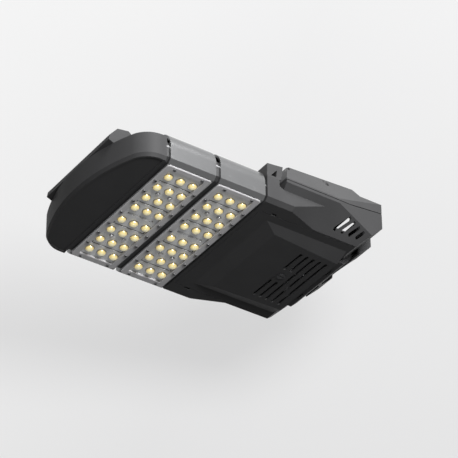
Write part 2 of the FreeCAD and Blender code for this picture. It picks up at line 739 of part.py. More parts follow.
def front_holes():
    """Holes in the housing's front wall for tie rods, locating pins and module leads."""
    body = new_body("front_hole_cutter")
    face = sketch(body, "YZ_Plane", "front_holes", f"{front_face} - wall * 2")
    for sign in (1, -1):
        circle(face, f"{sign} * rod_half", "rod_height", "rod_radius + rod_play")
        circle(face, f"{sign} * lead_half", "lead_height", "lead_radius")
    pad(body, "front_hole_depth", face, "wall * 4")
    pins = sketch(body, "YZ_Plane", "front_pin_holes", f"{front_face} - locator_depth")
    for sign in (1, -1):
        circle(pins, f"{sign} * pin_half", "rod_height", "locator_radius")
    pad(body, "front_pin_depth", pins, "locator_depth * 2")
    return body


def rim_cutter():
    """Cutter for the seat and opening of the driver cover, with room for its hinges."""
    body = new_body("rim_cutter")
    recess = sketch(body, "XY_Plane", "cover_recess", "-bulge_depth")
    rectangle(recess, "ramp_foot - door_play", "door_front + door_play",
              "-door_half - door_play", "door_half + door_play")
    pad(body, "cover_recess_depth", recess, "bulge_depth + hinge_height")
    opening = sketch(body, "XY_Plane", "cover_opening")
    rectangle(opening, "ramp_foot + ledge", "door_front - ledge", "-door_half + ledge", "door_half - ledge")
    pad(body, "cover_opening_depth", opening, "floor + wall")
    for index, sign in enumerate((1, -1)):
        band = sketch(body, "XZ_Plane", f"rear_mitre_{index}", f"{sign} * (door_half + tail_half) / 2")
        rectangle(band, "ramp_foot - ledge * 2", "ramp_foot + door_play",
                  "-bulge_depth", "hinge_height + door_play")
        pad(body, f"rear_mitre_cut_{index}", band, "door_half - tail_half + door_play", midplane=True)
        notch = sketch(body, "XZ_Plane", f"knuckle_notch_{index}", f"{sign} * hinge_half")
        reach = "(hinge_height + door_play)"
        rectangle(notch, f"{hinge_x} - {reach}", "ramp_foot + door_play",
                  "-bulge_depth", f"hinge_height + {reach}")
        pad(body, f"knuckle_notch_cut_{index}", notch, "knuckle_length + door_play", midplane=True)
        grip = sketch(body, "XY_Plane", f"finger_notch_{index}", "-bulge_depth")
        low, high = ("door_half", "door_half + door_play + notch_width") if sign > 0 else (
            "-door_half - door_play - notch_width", "-door_half")
        rectangle(grip, "notch_front - notch_length", "notch_front", low, high)
        pad(body, f"finger_notch_cut_{index}", grip, "bulge_depth + notch_depth")
        bore = sketch(body, "XZ_Plane", f"pin_bore_{index}", f"{sign} * hinge_half")
        circle(bore, hinge_x, "hinge_height", "pin_radius")
        pad(body, f"pin_bore_cut_{index}", bore, "pin_length", midplane=True)
    return body


def swing_cutter():
    """Cutter that carries the tail's rounded edge on through the slope behind the driver cover."""
    body = new_body("swing_cutter")
    block = sketch(body, "XZ_Plane", "swing_block")
    centre = f"({hinge_x} + hinge_height - {tail_round})"
    rectangle(block, centre, "ramp_foot", "-bulge_depth", tail_round)
    pad(body, "swing_block_pad", block, "2 * tail_half", midplane=True)
    kept = sketch(body, "XZ_Plane", "swing_round")
    circle(kept, centre, tail_round, tail_round)
    pocket(body, "swing_round_cut", kept, "wing_half * 4", midplane=True)
    return body


def driver_housing():
    """Lower casting with the tail, the pole socket, screw columns and the cover's rim."""
    outer = lower_envelope("housing_outer", "0")
    cut_wings_top(outer)
    core = lower_envelope("housing_core", "wall")
    under = sketch(core, "XZ_Plane", "core_floor_profile")
    rectangle(under, "-tail_reach", f"{front_face} * 2", "-floor", "floor")
    pocket(core, "core_floor", under, "wing_half * 4", midplane=True)
    shell = join("Cut", "housing_shell", outer, core)
    posts = columns("housing_columns", "wall / 2", "column_radius")
    cut_parting(posts, "housing_columns", "0", True)
    stands = sketch(posts, "XY_Plane", "pillar_plan", "wall / 2")
    for sign in (1, -1):
        for along in ("pillar_rear", "pillar_front"):
            circle(stands, along, f"{sign} * pillar_half", "pillar_radius")
    pad(posts, "pillars", stands, "tray_height - wall / 2")
    posts = join("Common", "columns_trimmed", posts, lower_envelope("column_limit", "wall / 4"))
    shell = join("Fuse", "housing_with_columns", shell, posts)
    shell = join("Fuse", "housing_with_tail", shell, tail_form("tail_outer", "0"))
    shell = join("Cut", "housing_hollow_tail", shell, tail_form("tail_core", "wall"))
    shell = join("Fuse", "housing_with_socket", shell, socket_form())
    shell = join("Fuse", "housing_with_lugs", shell, hinge_lugs())
    bore = new_body("bore_cutter")
    mouth_circle = sketch(bore, "YZ_Plane", "bore_circle", "-tail_reach")
    circle(mouth_circle, "0", "axis_height", "bore_radius")
    pad(bore, "bore_depth", mouth_circle, "tail_reach + socket_end")
    threads = sketch(bore, "XY_Plane", "clamp_holes")
    for index in range(2):
        circle(threads, f"clamp_first + clamp_pitch * {index}", "0", "clamp_radius")
    pad(bore, "clamp_hole_depth", threads, "axis_height - bore_radius / 2")
    cable = sketch(bore, "YZ_Plane", "cable_hole", "socket_end - wall")
    circle(cable, "0", "axis_height + cable_rise", "cable_radius")
    pad(bore, "cable_hole_depth", cable, "stop_thick + 2 * wall")
    lock = sketch(bore, "XY_Plane", "lock_hole")
    circle(lock, "lock_x", "0", "lock_shank + lock_room")
    pad(bore, "lock_hole_depth", lock, "lock_seat + lock_reach * 2")
    shell = join("Cut", "housing_bored", shell, bore)
    shell = join("Cut", "housing_rimmed", shell, rim_cutter())
    shell = join("Cut", "housing_swing_cleared", shell, swing_cutter())
    shell = join("Cut", "housing_vented", shell, side_vents())
    shell = join("Cut", "housing_fronted", shell, front_holes())
    drilled = new_body("pillar_hole_cutter")
    pilot = sketch(drilled, "XY_Plane", "pillar_holes", "tray_height - screw_grip / 2")
    for sign in (1, -1):
        for along in ("pillar_rear", "pillar_front"):
            circle(pilot, along, f"{sign} * pillar_half", "screw_radius")
    pad(drilled, "pillar_hole_depth", pilot, "screw_grip")
    beam = sketch(drilled, "XY_Plane", "beam_holes", "front_height - wall * 2")
    for sign in (1, -1):
        for half in ("bar_screw_inner", "bar_screw_outer"):
            circle(beam, f"{beam_back} + bar_screw_x", f"{sign} * {half}", "bar_screw_radius + screw_play")
    pad(drilled, "beam_hole_depth", beam, "wall * 4")
    shell = join("Cut", "housing_drilled", shell, drilled)
    holes = column_holes("column_threads", "cover_screw_radius", "parting_height - screw_grip",
                         "parting_rear_height - screw_grip - tail_reach / 4")
    return join("Cut", "housing_threaded", shell, holes)


keep(driver_housing(), "driver_housing")


# Top cover and its gasket

def upper_envelope(name, inset):
    """The top cover's outer form, or with an inset the space inside its walls."""
    body = new_body(name)
    band_top = "(parting_height + band)"
    skew = f"({inset} * sqrt(1 + cover_lean ^ 2))"
    peak = "(cover_rear_top * 1.2)"
    section = sketch(body, "YZ_Plane", name + "_section", f"{rear_wall} + {inset}")
    shoulder = f"({band_top} - ({skew} - {inset}) / cover_lean)"
    top_half = f"(wing_half - {skew} - cover_lean * ({peak} - {band_top}))"
    outline(section, [
        (f"wing_half - {inset}", "0"),
        (f"wing_half - {inset}", shoulder),
        (top_half, peak),
        (f"-{top_half}", peak),
        (f"-wing_half + {inset}", shoulder),
        (f"-wing_half + {inset}", "0"),
    ])
    pad(body, name + "_length", section, f"wing_front - {rear_wall} - 2 * {inset}")
    roof = sketch(body, "XZ_Plane", name + "_roof_profile")
    outline(roof, [
        (f"wing_front - {inset}", band_top),
        (f"wing_front - cover_front_run - {inset}", f"cover_front_top - {inset}"),
        (f"step_front + {inset} / 2", f"cover_rear_top - {inset}"),
        (f"step_back + {inset} / 2", f"deck_top - {inset}"),
        ("-tail_reach", f"deck_top - {inset}"),
        ("-tail_reach", f"{peak} * 2"),
        ("wing_front * 2", f"{peak} * 2"),
        ("wing_front * 2", band_top),
    ])
    pocket(body, name + "_roof", roof, "wing_half * 4", midplane=True)
    cut_shoulders(body, name, inset)
    return body


def top_cover():
    """Upper casting with a lowered rear deck, two vent windows and screw wells."""
    outer = upper_envelope("cover_outer", "0")
    cut_parting(outer, "cover_outer", "seal_thick", False)
    core = upper_envelope("cover_core", "wall")
    shell = join("Cut", "cover_shell", outer, core)
    wells = columns("cover_wells", "parting_height", "column_radius + wall / 3")
    cut_parting(wells, "cover_wells", "seal_thick", False)
    form = upper_envelope("cover_well_limit", "wall / 4")
    wells = join("Common", "cover_wells_trimmed", wells, form)
    shell = join("Fuse", "cover_with_wells", shell, wells)
    shell = join("Cut", "cover_well_bored",
                 shell, column_holes("well_bores", "well_radius", "parting_height + well_floor",
                                     "parting_rear_height + well_floor - tail_reach / 4"))
    shell = join("Cut", "cover_screw_bored",
                 shell, column_holes("well_screw_holes", "cover_screw_radius + screw_play", "0", "0"))
    cuts = new_body("cover_cutter")
    windows = sketch(cuts, "XY_Plane", "rear_windows", "parting_rear_height")
    for sign in (1, -1):
        low, high = ("window_inner", "window_outer") if sign > 0 else ("-window_outer", "-window_inner")
        window_start = f"{rear_wall} + window_rear"
        rectangle(windows, window_start, f"{window_start} + window_length", low, high)
    pad(cuts, "rear_window_depth", windows, "deck_top")
    notch = sketch(cuts, "XZ_Plane", "tail_notch")
    rectangle(notch, "0", f"{rear_wall} + wall * 1.5", "0", "tail_top + door_play")
    pad(cuts, "tail_notch_width", notch, "2 * (tail_half + door_play)", midplane=True)
    return join("Cut", "cover_cut", shell, cuts)


def plan_outline(drawing, inset):
    """The plan of the housing at the joint, moved in by an inset."""
    outline(drawing, [
        (f"wing_front - {inset}", f"-wing_half + {inset}"),
        (f"wing_front - {inset}", f"wing_half - {inset}"),
        ("wing_end", f"wing_half - {inset}"),
        (f"{rear_wall} + {inset}", f"rear_half - {inset}"),
        (f"{rear_wall} + {inset}", f"-rear_half + {inset}"),
        ("wing_end", f"-wing_half + {inset}"),
    ])


def cover_gasket():
    """Flat gasket that follows the joint and stops at the tail."""
    body = new_body("gasket_form")
    ring = sketch(body, "XY_Plane", "gasket_plan", "parting_height - wall")
    plan_outline(ring, "seal_inset")
    plan_outline(ring, "wall")
    pad(body, "gasket_height", ring, "deck_top")
    cut_parting(body, "gasket_top", "seal_thick", True)
    cut_parting(body, "gasket_foot", "0", False)
    gap = sketch(body, "XY_Plane", "gasket_gap")
    rectangle(gap, "0", f"{rear_wall} + wall * 2", "-tail_half - door_play", "tail_half + door_play")
    pocket(body, "gasket_gap_cut", gap, "deck_top * 2", reverse=True)
    return body


keep(top_cover(), "top_cover")
keep(cover_gasket(), "cover_gasket")


def cover_screws():
    """Six screws that hold the top cover down."""
    solids = []
    for along, half, height in (
        ("column_front", "column_half", "parting_height"),
        ("column_middle", "column_half", "parting_height"),
        ("column_rear", "column_rear_half", "parting_rear_height - tail_reach / 4"),
    ):
        seat = value(f"{height} + well_floor")
        for sign in (1, -1):
            place = (value(along), sign * value(half), seat)
            thread = value("cover_screw_radius")
            shank = prism(shank_sides, thread, value("well_floor + screw_grip"), place, (0, 0, -1))
            head = prism(head_sides, thread * 1.8, thread * 1.2, place, (0, 0, 1))
            solids.append(shank.fuse(head))
    return Part.makeCompound(solids)


keep_shape(cover_screws(), "top_cover_screws")


# Driver cover with its hinges and lock

def bulge_form(name, lift, rear):
    """The raised panel of the driver cover, hanging below a level."""
    body = new_body(name)
    front_run = "bulge_slope_front * bulge_front_depth / bulge_depth"
    profile = sketch(body, "XZ_Plane", name + "_profile")
    outline(profile, [
        (rear, lift),
        ("bulge_front", lift),
        (f"bulge_front - {front_run}", f"{lift} - bulge_front_depth"),
        (rear, f"{lift} - bulge_depth"),
    ])
    pad(body, name + "_block", profile, "2 * bulge_half", midplane=True)
    for side, sign in (("left", 1), ("right", -1)):
        face = sketch(body, "YZ_Plane", f"{name}_{side}_profile", "0")
        outline(face, [
            (f"{sign} * bulge_half", lift),
            (f"{sign} * (bulge_half - 2 * bulge_slope_side)", f"{lift} - 2 * bulge_depth"),
            (f"{sign} * (bulge_half + bulge_slope_side)", f"{lift} - 2 * bulge_depth"),
            (f"{sign} * (bulge_half + bulge_slope_side)", lift),
        ])
        pocket(body, f"{name}_{side}_slope", face, "bulge_front * 4", midplane=True)
    return body


def driver_cover():
    """Hinged cover with a raised, slotted panel and two hinge knuckles."""
    body = new_body("cover_plate")
    plate = sketch(body, "XY_Plane", "cover_plan")
    rectangle(plate, "ramp_foot", "door_front", "-door_half", "door_half")
    pad(body, "cover_plate_pad", plate, "door_thick")
    wedge = sketch(body, "XZ_Plane", "cover_mitre_profile")
    outline(wedge, [
        ("ramp_foot", "0"),
        ("ramp_foot + ledge", "0"),
        ("ramp_foot + ledge", "door_thick"),
        ("ramp_foot - door_thick * (ramp_foot - tail_reach) / ramp_rise", "door_thick"),
    ])
    pad(body, "cover_mitre", wedge, "2 * door_half", midplane=True)
    straight = sketch(body, "XY_Plane", "cover_tail_edge")
    rectangle(straight, "0", "ramp_foot", "-tail_half - door_play", "tail_half + door_play")
    pocket(body, "cover_tail_cut", straight, "door_thick", reverse=True)
    shape = join("Fuse", "cover_with_bulge", body, bulge_form("bulge_outer", "0", "ramp_foot + ledge"))
    hollow = bulge_form("bulge_core", "door_thick", "ramp_foot + ledge + wall")
    shape = join("Cut", "cover_hollow", shape, hollow)
    knuckles = new_body("knuckles")
    for index, sign in enumerate((1, -1)):
        barrel = sketch(knuckles, "XZ_Plane", f"barrel_{index}", f"{sign} * hinge_half")
        circle(barrel, hinge_x, "hinge_height", "hinge_height")
        pad(knuckles, f"barrel_pad_{index}", barrel, "knuckle_length", midplane=True)
        strap = sketch(knuckles, "XZ_Plane", f"strap_{index}", f"{sign} * hinge_half")
        rectangle(strap, hinge_x, "ramp_foot + ledge / 2", "0", "door_thick")
        pad(knuckles, f"strap_pad_{index}", strap, "knuckle_length", midplane=True)
    shape = join("Fuse", "cover_with_knuckles", shape, knuckles)
    cuts = new_body("cover_holes")
    slots = sketch(cuts, "XY_Plane", "cover_slots", "-2 * bulge_depth")
    for index in range(5):
        along = f"slot_first + slot_pitch * {index}"
        end = "(slot_half - vent_width / 2)"
        if index < 3:
            long_hole(slots, (along, f"-{end}"), (along, end), "vent_width")
        else:
            inner = "(slot_inner + vent_width / 2)"
            long_hole(slots, (along, inner), (along, end), "vent_width")
            long_hole(slots, (along, f"-{end}"), (along, f"-{inner}"), "vent_width")
    pad(cuts, "cover_slot_depth", slots, "4 * bulge_depth")
    screw = sketch(cuts, "XY_Plane", "lock_shank_hole", "-2 * bulge_depth")
    circle(screw, "lock_x", "0", "lock_shank + screw_play")
    pad(cuts, "lock_shank_depth", screw, "4 * bulge_depth")
    seat = sketch(cuts, "XY_Plane", "lock_seat_face", "-2 * bulge_depth")
    circle(seat, "lock_x", "0", "lock_radius + screw_play")
    pad(cuts, "lock_seat_depth", seat, "2 * bulge_depth - bulge_front_depth")
    for index, sign in enumerate((1, -1)):
        hole = sketch(cuts, "XZ_Plane", f"knuckle_bore_{index}", f"{sign} * hinge_half")
        circle(hole, hinge_x, "hinge_height", "pin_radius + pin_play")
        pad(cuts, f"knuckle_bore_depth_{index}", hole, "knuckle_length * 2", midplane=True)
    return join("Cut", "cover_finished", shape, cuts)


def hinge_pins():
    """Two pins held in the tail's lugs."""
    solids = []
    for sign in (1, -1):
        side = sign * value("hinge_half") - value("pin_length") / 2
        start = (value(hinge_x), side, value("hinge_height"))
        solids.append(cylinder("pin_radius", "pin_length", start, (0, 1, 0)))
    return Part.makeCompound(solids)


def cover_lock():
    """Captive screw that holds the driver cover shut, with a slotted head."""
    seat = value("-bulge_front_depth")
    place = (value("lock_x"), 0, seat)
    head = cylinder("lock_radius - lock_rim - screw_play", "lock_head", place, (0, 0, -1))
    shank = cylinder("lock_shank", "lock_seat + lock_reach + bulge_front_depth", place, (0, 0, 1))
    groove = value("lock_head / 2")
    bar = Part.makeBox(value("lock_radius * 2"), groove, groove, FreeCAD.Vector(
        value("lock_x - lock_radius"), -groove / 2, seat - value("lock_head")))
    return head.fuse(shank).cut(bar)


def cover_lock_ring():
    """Round rim that the head of the lock lies in."""
    place = (value("lock_x"), 0, value("-bulge_front_depth"))
    ring = cylinder("lock_radius", "lock_head + screw_play * 3", place, (0, 0, -1))
    return ring.cut(cylinder("lock_radius - lock_rim", "lock_head * 2", place, (0, 0, -1)))


keep(driver_cover(), "driver_cover")
keep_shape(hinge_pins(), "hinge_pins")
keep_shape(cover_lock(), "cover_lock")
keep_shape(cover_lock_ring(), "cover_lock_ring")


# Cross bar

def cross_bar():
    """Extruded bar across the front beam, with one open chamber."""
    body = new_body("bar_form")
    profile = sketch(body, "XZ_Plane", "bar_profile")
    top = "(front_height + bar_height)"
    outline(profile, [
        (beam_back, "front_height"),
        (f"{front_face} - bar_wall / 5", "front_height"),
        (f"{front_face} - bar_wall / 2", f"{top} - bar_wall * 1.2"),
        (f"{front_face} - bar_depth", top),
        (f"{front_face} - bar_depth + bar_wall * 1.4", "front_height + bar_wall / 2"),
    ])
    pad(body, "bar_length", profile, "2 * bar_half", midplane=True)
    chamber = sketch(body, "XZ_Plane", "bar_chamber")
    outline(chamber, [
        (f"{front_face} - bar_depth + bar_wall * 4", f"{top} - bar_wall * 3.7"),
        (f"{front_face} - bar_depth + bar_wall * 4.4", "front_height + bar_wall * 1.3"),
        (f"{front_face} - bar_wall * 2.8", "front_height + bar_wall * 1.3"),
    ])
    pocket(body, "bar_chamber_cut", chamber, "4 * bar_half", midplane=True)
    holes = sketch(body, "XY_Plane", "bar_holes", "front_height")
    for sign in (1, -1):
        for half in ("bar_screw_inner", "bar_screw_outer"):
            circle(holes, f"{beam_back} + bar_screw_x", f"{sign} * {half}", "bar_screw_radius")
    pocket(body, "bar_hole_cut", holes, "bar_wall * 1.8", reverse=True)
    return body


def cross_bar_screws():
    """Four screws from inside the front beam up into the bar."""
    solids = []
    for sign in (1, -1):
        for half in ("bar_screw_inner", "bar_screw_outer"):
            place = (value(f"{beam_back} + bar_screw_x"), sign * value(half), value("front_height - wall"))
            thread = value("bar_screw_radius")
            shank = prism(shank_sides, thread, value("wall + bar_wall * 1.2"), place, (0, 0, 1))
            solids.append(shank.fuse(prism(head_sides, thread * 1.8, thread, place, (0, 0, -1))))
    return Part.makeCompound(solids)


keep(cross_bar(), "cross_bar")
keep_shape(cross_bar_screws(), "cross_bar_screws")


# Light modules, drawn round their own centre

def section_body(name, inset, start, length, top):
    """The modules' cross section with its rounded upper corners, along the lamp."""
    body = new_body(name)
    face = sketch(body, "YZ_Plane", name + "_section", start)
    outline(face, [
        (f"side_half - {inset} - edge_drop", inset),
        (f"side_half - {inset}", f"edge_drop + {inset}"),
        (f"side_half - {inset}", f"{top} - {inset}"),
        (f"-side_half + {inset}", f"{top} - {inset}"),
        (f"-side_half + {inset}", f"edge_drop + {inset}"),
        (f"-side_half + {inset} + edge_drop", inset),
    ])
    block = pad(body, name + "_block", face, length)
    height = value(f"{top} - {inset}")
    half = value(f"side_half - {inset}")
    rounding = edges_where(block, lambda point: near(point.z, height) and near(point.y, half))
    rounding += edges_where(block, lambda point: near(point.z, height) and near(point.y, -half))
    fillet(body, name + "_corners", block, rounding, f"sink_round - {inset}")
    return body


def heat_sink(number):
    """Extruded heat sink with fins, closed end chambers and a seat for the light plate."""
    name = f"sink_{number}"
    body = section_body(name, "0", "-module_width / 2", "module_width", "sink_height")
    seat = sketch(body, "XY_Plane", name + "_bezel_seat")
    rectangle(seat, "-bezel_width / 2 - seat_play", "bezel_width / 2 + seat_play",
              "-bezel_length / 2 - seat_play", "bezel_length / 2 + seat_play")
    pocket(body, name + "_bezel_recess", seat, "plate_face", reverse=True)
    bed = sketch(body, "XY_Plane", name + "_plate_seat")
    rectangle(bed, "-plate_width / 2 - seat_play", "plate_width / 2 + seat_play",
              "-plate_length / 2 - seat_play", "plate_length / 2 + seat_play")
    pocket(body, name + "_plate_recess", bed, f"{board_seat} + board_thick", reverse=True)
    slots = sketch(body, "YZ_Plane", name + "_fin_slots", "0")
    count = int(value("2 * fin_span / fin_pitch"))
    for index in range(count):
        middle = f"fin_pitch * {index - (count - 1) / 2}"
        reach = "(fin_pitch - fin_thick) / 2"
        rectangle(slots, f"{middle} - {reach}", f"{middle} + {reach}", "sink_base", "sink_height * 1.5")
    pocket(body, name + "_fins", slots, "module_width * 2", midplane=True)
    holes = sketch(body, "YZ_Plane", name + "_rod_holes", "-module_width")
    for sign in (1, -1):
        circle(holes, f"{sign} * rod_half", "rod_height", "rod_radius + rod_play")
    pocket(body, name + "_rod_bores", holes, "module_width * 2", reverse=True)
    for end, sign in (("rear", -1), ("front", 1)):
        pins = sketch(body, "YZ_Plane", f"{name}_{end}_pins", f"{sign} * module_width / 2")
        for side in (1, -1):
            circle(pins, f"{side} * pin_half", "rod_height", "locator_radius")
        pocket(body, f"{name}_{end}_pin_holes", pins, "locator_depth", reverse=sign < 0)
    inner = section_body(name + "_chamber", "wall", "-module_width", "module_width * 2", "sink_height")
    box = new_body(name + "_chamber_box")
    ends = sketch(box, "YZ_Plane", name + "_chamber_ends", "-module_width")
    for low, high in (("fin_span + wall", "side_half"), ("-side_half", "-fin_span - wall")):
        rectangle(ends, low, high, "rod_height + wall * 3", "sink_height")
    pad(box, name + "_chamber_length", ends, "module_width * 2")
    chamber = join("Common", name + "_chambers", inner, box)
    shape = join("Cut", name + "_hollow", body, chamber)
    return drill(name + "_drilled", shape, bezel_screw_places() + board_screw_places(),
                 "-bezel_low", "screw_reach + bezel_low + screw_play", "screw_radius")


def bezel_screw_places():
    """Screws round the bezel, as expressions from the module's centre."""
    steps = [f"row_split + row_pitch * {index} - bezel_screw_shift" for index in range(3)]
    places = []
    for along in ("-bezel_screw_side", "bezel_screw_side"):
        places.append((along, "0"))
        for step in steps:
            places += [(along, f"-({step})"), (along, f"({step})")]
    for along in ("-bezel_screw_near", "bezel_screw_near"):
        places += [(along, "-bezel_screw_end"), (along, "bezel_screw_end")]
    return places


def board_screw_places():
    """Four screws through the lens plate and the board."""
    across = "(row_split / 2 + row_pitch * 1.5)"
    return [
        (along, f"{sign} * {across}") for along in ("-board_screw_x", "board_screw_x") for sign in (1, -1)
    ]


def ring_frame(name, low, height, outer, inner):
    """A flat rectangular frame."""
    body = new_body(name)
    plan = sketch(body, "XY_Plane", name + "_plan", low)
    rectangle(plan, f"-{outer[0]}", outer[0], f"-{outer[1]}", outer[1])
    rectangle(plan, f"-{inner[0]}", inner[0], f"-{inner[1]}", inner[1])
    pad(body, name + "_pad", plan, height)
    return body


def bezel(number):
    """Frame that clamps the lens plate, with bevelled edges."""
    name = f"bezel_{number}"
    body = ring_frame(
        name + "_form", "-bezel_low", "bezel_low + plate_face",
        ("bezel_width / 2", "bezel_length / 2"), ("bezel_open_width / 2", "bezel_open_length / 2"))
    half = value("bezel_width / 2")
    across = value("bezel_length / 2")
    corners = edges_where(body.Tip, lambda point: near(abs(point.x), half) and near(abs(point.y), across))
    upright = []
    for one in corners:
        first, last = body.Tip.Shape.getElement(one).Vertexes
        if near(first.X, last.X) and near(first.Y, last.Y):
            upright.append(one)
    fillet(body, name + "_corner_round", body.Tip, upright, "bezel_round")
    low = value("-bezel_low")
    lower = edges_where(body.Tip, lambda point: near(point.z, low))
    chamfer(body, name + "_bevel", body.Tip, lower, "bezel_bevel")
    return drill(name + "_drilled", body, bezel_screw_places(), "-bezel_low * 2", "bezel_low * 6",
                 "screw_radius + screw_play")


def lens_dome():
    """One lens dome round the origin, in flat facets, hanging from the plate's face."""
    side = value("dome_radius - dome_round")
    skirt = value("dome_height - dome_round")
    bend = value("dome_round")
    face = value("plate_face")
    rings = [polygon(dome_sides, value("dome_radius"), face + skirt)]
    for degrees in dome_steps:
        turn = math.radians(degrees)
        rings.append(polygon(dome_sides, side + bend * math.cos(turn), face - skirt - bend * math.sin(turn)))
    faces = [Part.Face(Part.makePolygon(ring + ring[:1])) for ring in (rings[0], rings[-1])]
    for upper, lower in zip(rings, rings[1:]):
        for step in range(dome_sides):
            after = (step + 1) % dome_sides
            quad = [upper[step], upper[after], lower[after], lower[step], upper[step]]
            faces.append(Part.Face(Part.makePolygon(quad)))
    return Part.makeSolid(Part.makeShell(faces))


def lens_plate(number):
    """Clear plate with a dome under each led."""
    name = f"lens_{number}"
    body = new_body(name + "_form")
    plan = sketch(body, "XY_Plane", name + "_plan", "plate_face")
    rectangle(plan, "-plate_width / 2", "plate_width / 2", "-plate_length / 2", "plate_length / 2")
    pad(body, name + "_plate", plan, "plate_thick")
    domes = doc.addObject("Part::Feature", name + "_domes")
    one = lens_dome()
    domes.Shape = Part.makeCompound([
        one.translated(FreeCAD.Vector(value(along), value(across), 0))
        for along in ("-column_pitch", "0", "column_pitch")
        for across in row_places()
    ])
    shape = join("Fuse", name + "_domed", body, domes)
    return drill(name + "_drilled", shape, board_screw_places(),
                 "-dome_height", f"dome_height * 2 + {board_seat}", "screw_radius + screw_play")


def led_board(number):
    """Circuit board on the heat sink."""
    name = f"board_{number}"
    body = new_body(name + "_form")
    plan = sketch(body, "XY_Plane", name + "_plan", board_seat)
    rectangle(plan, "-plate_width / 2", "plate_width / 2", "-plate_length / 2", "plate_length / 2")
    pad(body, name + "_pad", plan, "board_thick")
    return drill(name + "_drilled", body, board_screw_places(),
                 "0", f"{board_seat} * 2", "screw_radius + screw_play")


def led_chips():
    """One led under each dome."""
    side = value("chip_side")
    height = value("chip_height")
    low = value(board_seat) - height
    chips = []
    for along in ("-column_pitch", "0", "column_pitch"):
        for across in row_places():
            corner = FreeCAD.Vector(value(along) - side / 2, value(across) - side / 2, low)
            chips.append(Part.makeBox(side, side, height, corner))
    return Part.makeCompound(chips)


def small_screws(places, face, reach):
    """Small screws with flat round heads, seated on a face and pointing up."""
    solids = []
    for along, across in places:
        place = (value(along), value(across), value(face))
        shank = prism(shank_sides, value("screw_radius"), value(f"{reach} - ({face})"), place, (0, 0, 1))
        head = prism(head_sides, value("screw_head"), value("screw_head_height"), place, (0, 0, -1))
        solids.append(shank.fuse(head))
    return Part.makeCompound(solids)


for number, where in (("1", "front"), ("2", "rear")):
    centre = module_centres[where]
    keep(heat_sink(number), f"heat_sink_{number}", centre)
    keep(bezel(number), f"bezel_{number}", centre)
    keep(lens_plate(number), f"lens_plate_{number}", centre)
    gasket = ring_frame(
        f"lens_gasket_{number}_form", plate_back, "gasket_thick",
        ("plate_width / 2", "plate_length / 2"),
        ("(plate_width / 2 - gasket_width)", "(plate_length / 2 - gasket_width)"))
    keep(gasket, f"lens_gasket_{number}", centre)
    keep(led_board(number), f"led_board_{number}", centre)
    keep_shape(led_chips(), f"led_chips_{number}", centre)
    outer_screws = small_screws(bezel_screw_places(), "-bezel_low", "screw_reach")
    inner_screws = small_screws(board_screw_places(), "plate_face", "screw_reach")
    keep_shape(outer_screws, f"bezel_screws_{number}", centre)
    keep_shape(inner_screws, f"board_screws_{number}", centre)


# Spacers, tie rods and locating pins between the castings

def spacer(label, start, thick):
    """Black plate between two castings, set in from their faces."""
    body = section_body(label + "_form", "spacer_inset", start, thick, "(spacer_height + spacer_inset)")
    holes = sketch(body, "YZ_Plane", label + "_holes", start)
    for sign in (1, -1):
        circle(holes, f"{sign} * rod_half", "rod_height", "rod_radius + rod_play")
        circle(holes, f"{sign} * lead_half", "lead_height", "lead_radius")
        circle(holes, f"{sign} * (pin_half)", "rod_height", "locator_radius")
    pocket(body, label + "_bores", holes, thick, reverse=True)
    return body


joints = (
    ("housing_spacer", front_face, "housing_gap"),
    ("middle_spacer", f"({front_face} + housing_gap + module_width)", "module_gap"),
    ("nose_spacer", modules_end, "nose_gap"),
)
for label, start, thick in joints:
    keep(spacer(label, start, thick), label)


def tie_rods():
    """Two rods from inside the housing's front wall into the nose cap."""
    start = value(f"{front_face} - wall - rod_nut * 1.6")
    length = value(nose_back) + value("rod_grip") - start
    return Part.makeCompound([
        cylinder("rod_radius", length, (start, sign * value("rod_half"), value("rod_height")), (1, 0, 0))
        for sign in (1, -1)
    ])


def tie_rod_nuts():
    """Nuts inside the housing's front wall."""
    solids = []
    for sign in (1, -1):
        place = (value(f"{front_face} - wall"), sign * value("rod_half"), value("rod_height"))
        nut = prism(6, value("rod_radius * 1.9"), value("rod_nut"), place, (-1, 0, 0))
        solids.append(nut.cut(cylinder("rod_radius", "rod_nut * 2", place, (-1, 0, 0))))
    return Part.makeCompound(solids)


def locating_pins():
    """Pins beside the tie rods at each of the three joints."""
    solids = []
    for label, start, thick in joints:
        low = value(f"{start} - locator_depth")
        length = value(f"{thick} + 2 * locator_depth")
        for sign in (1, -1):
            place = (low, sign * value("pin_half"), value("rod_height"))
            solids.append(cylinder("locator_radius", length, place, (1, 0, 0)))
    return Part.makeCompound(solids)


keep_shape(tie_rods(), "tie_rods")
keep_shape(tie_rod_nuts(), "tie_rod_nuts")
keep_shape(locating_pins(), "locating_pins")


# Nose cap

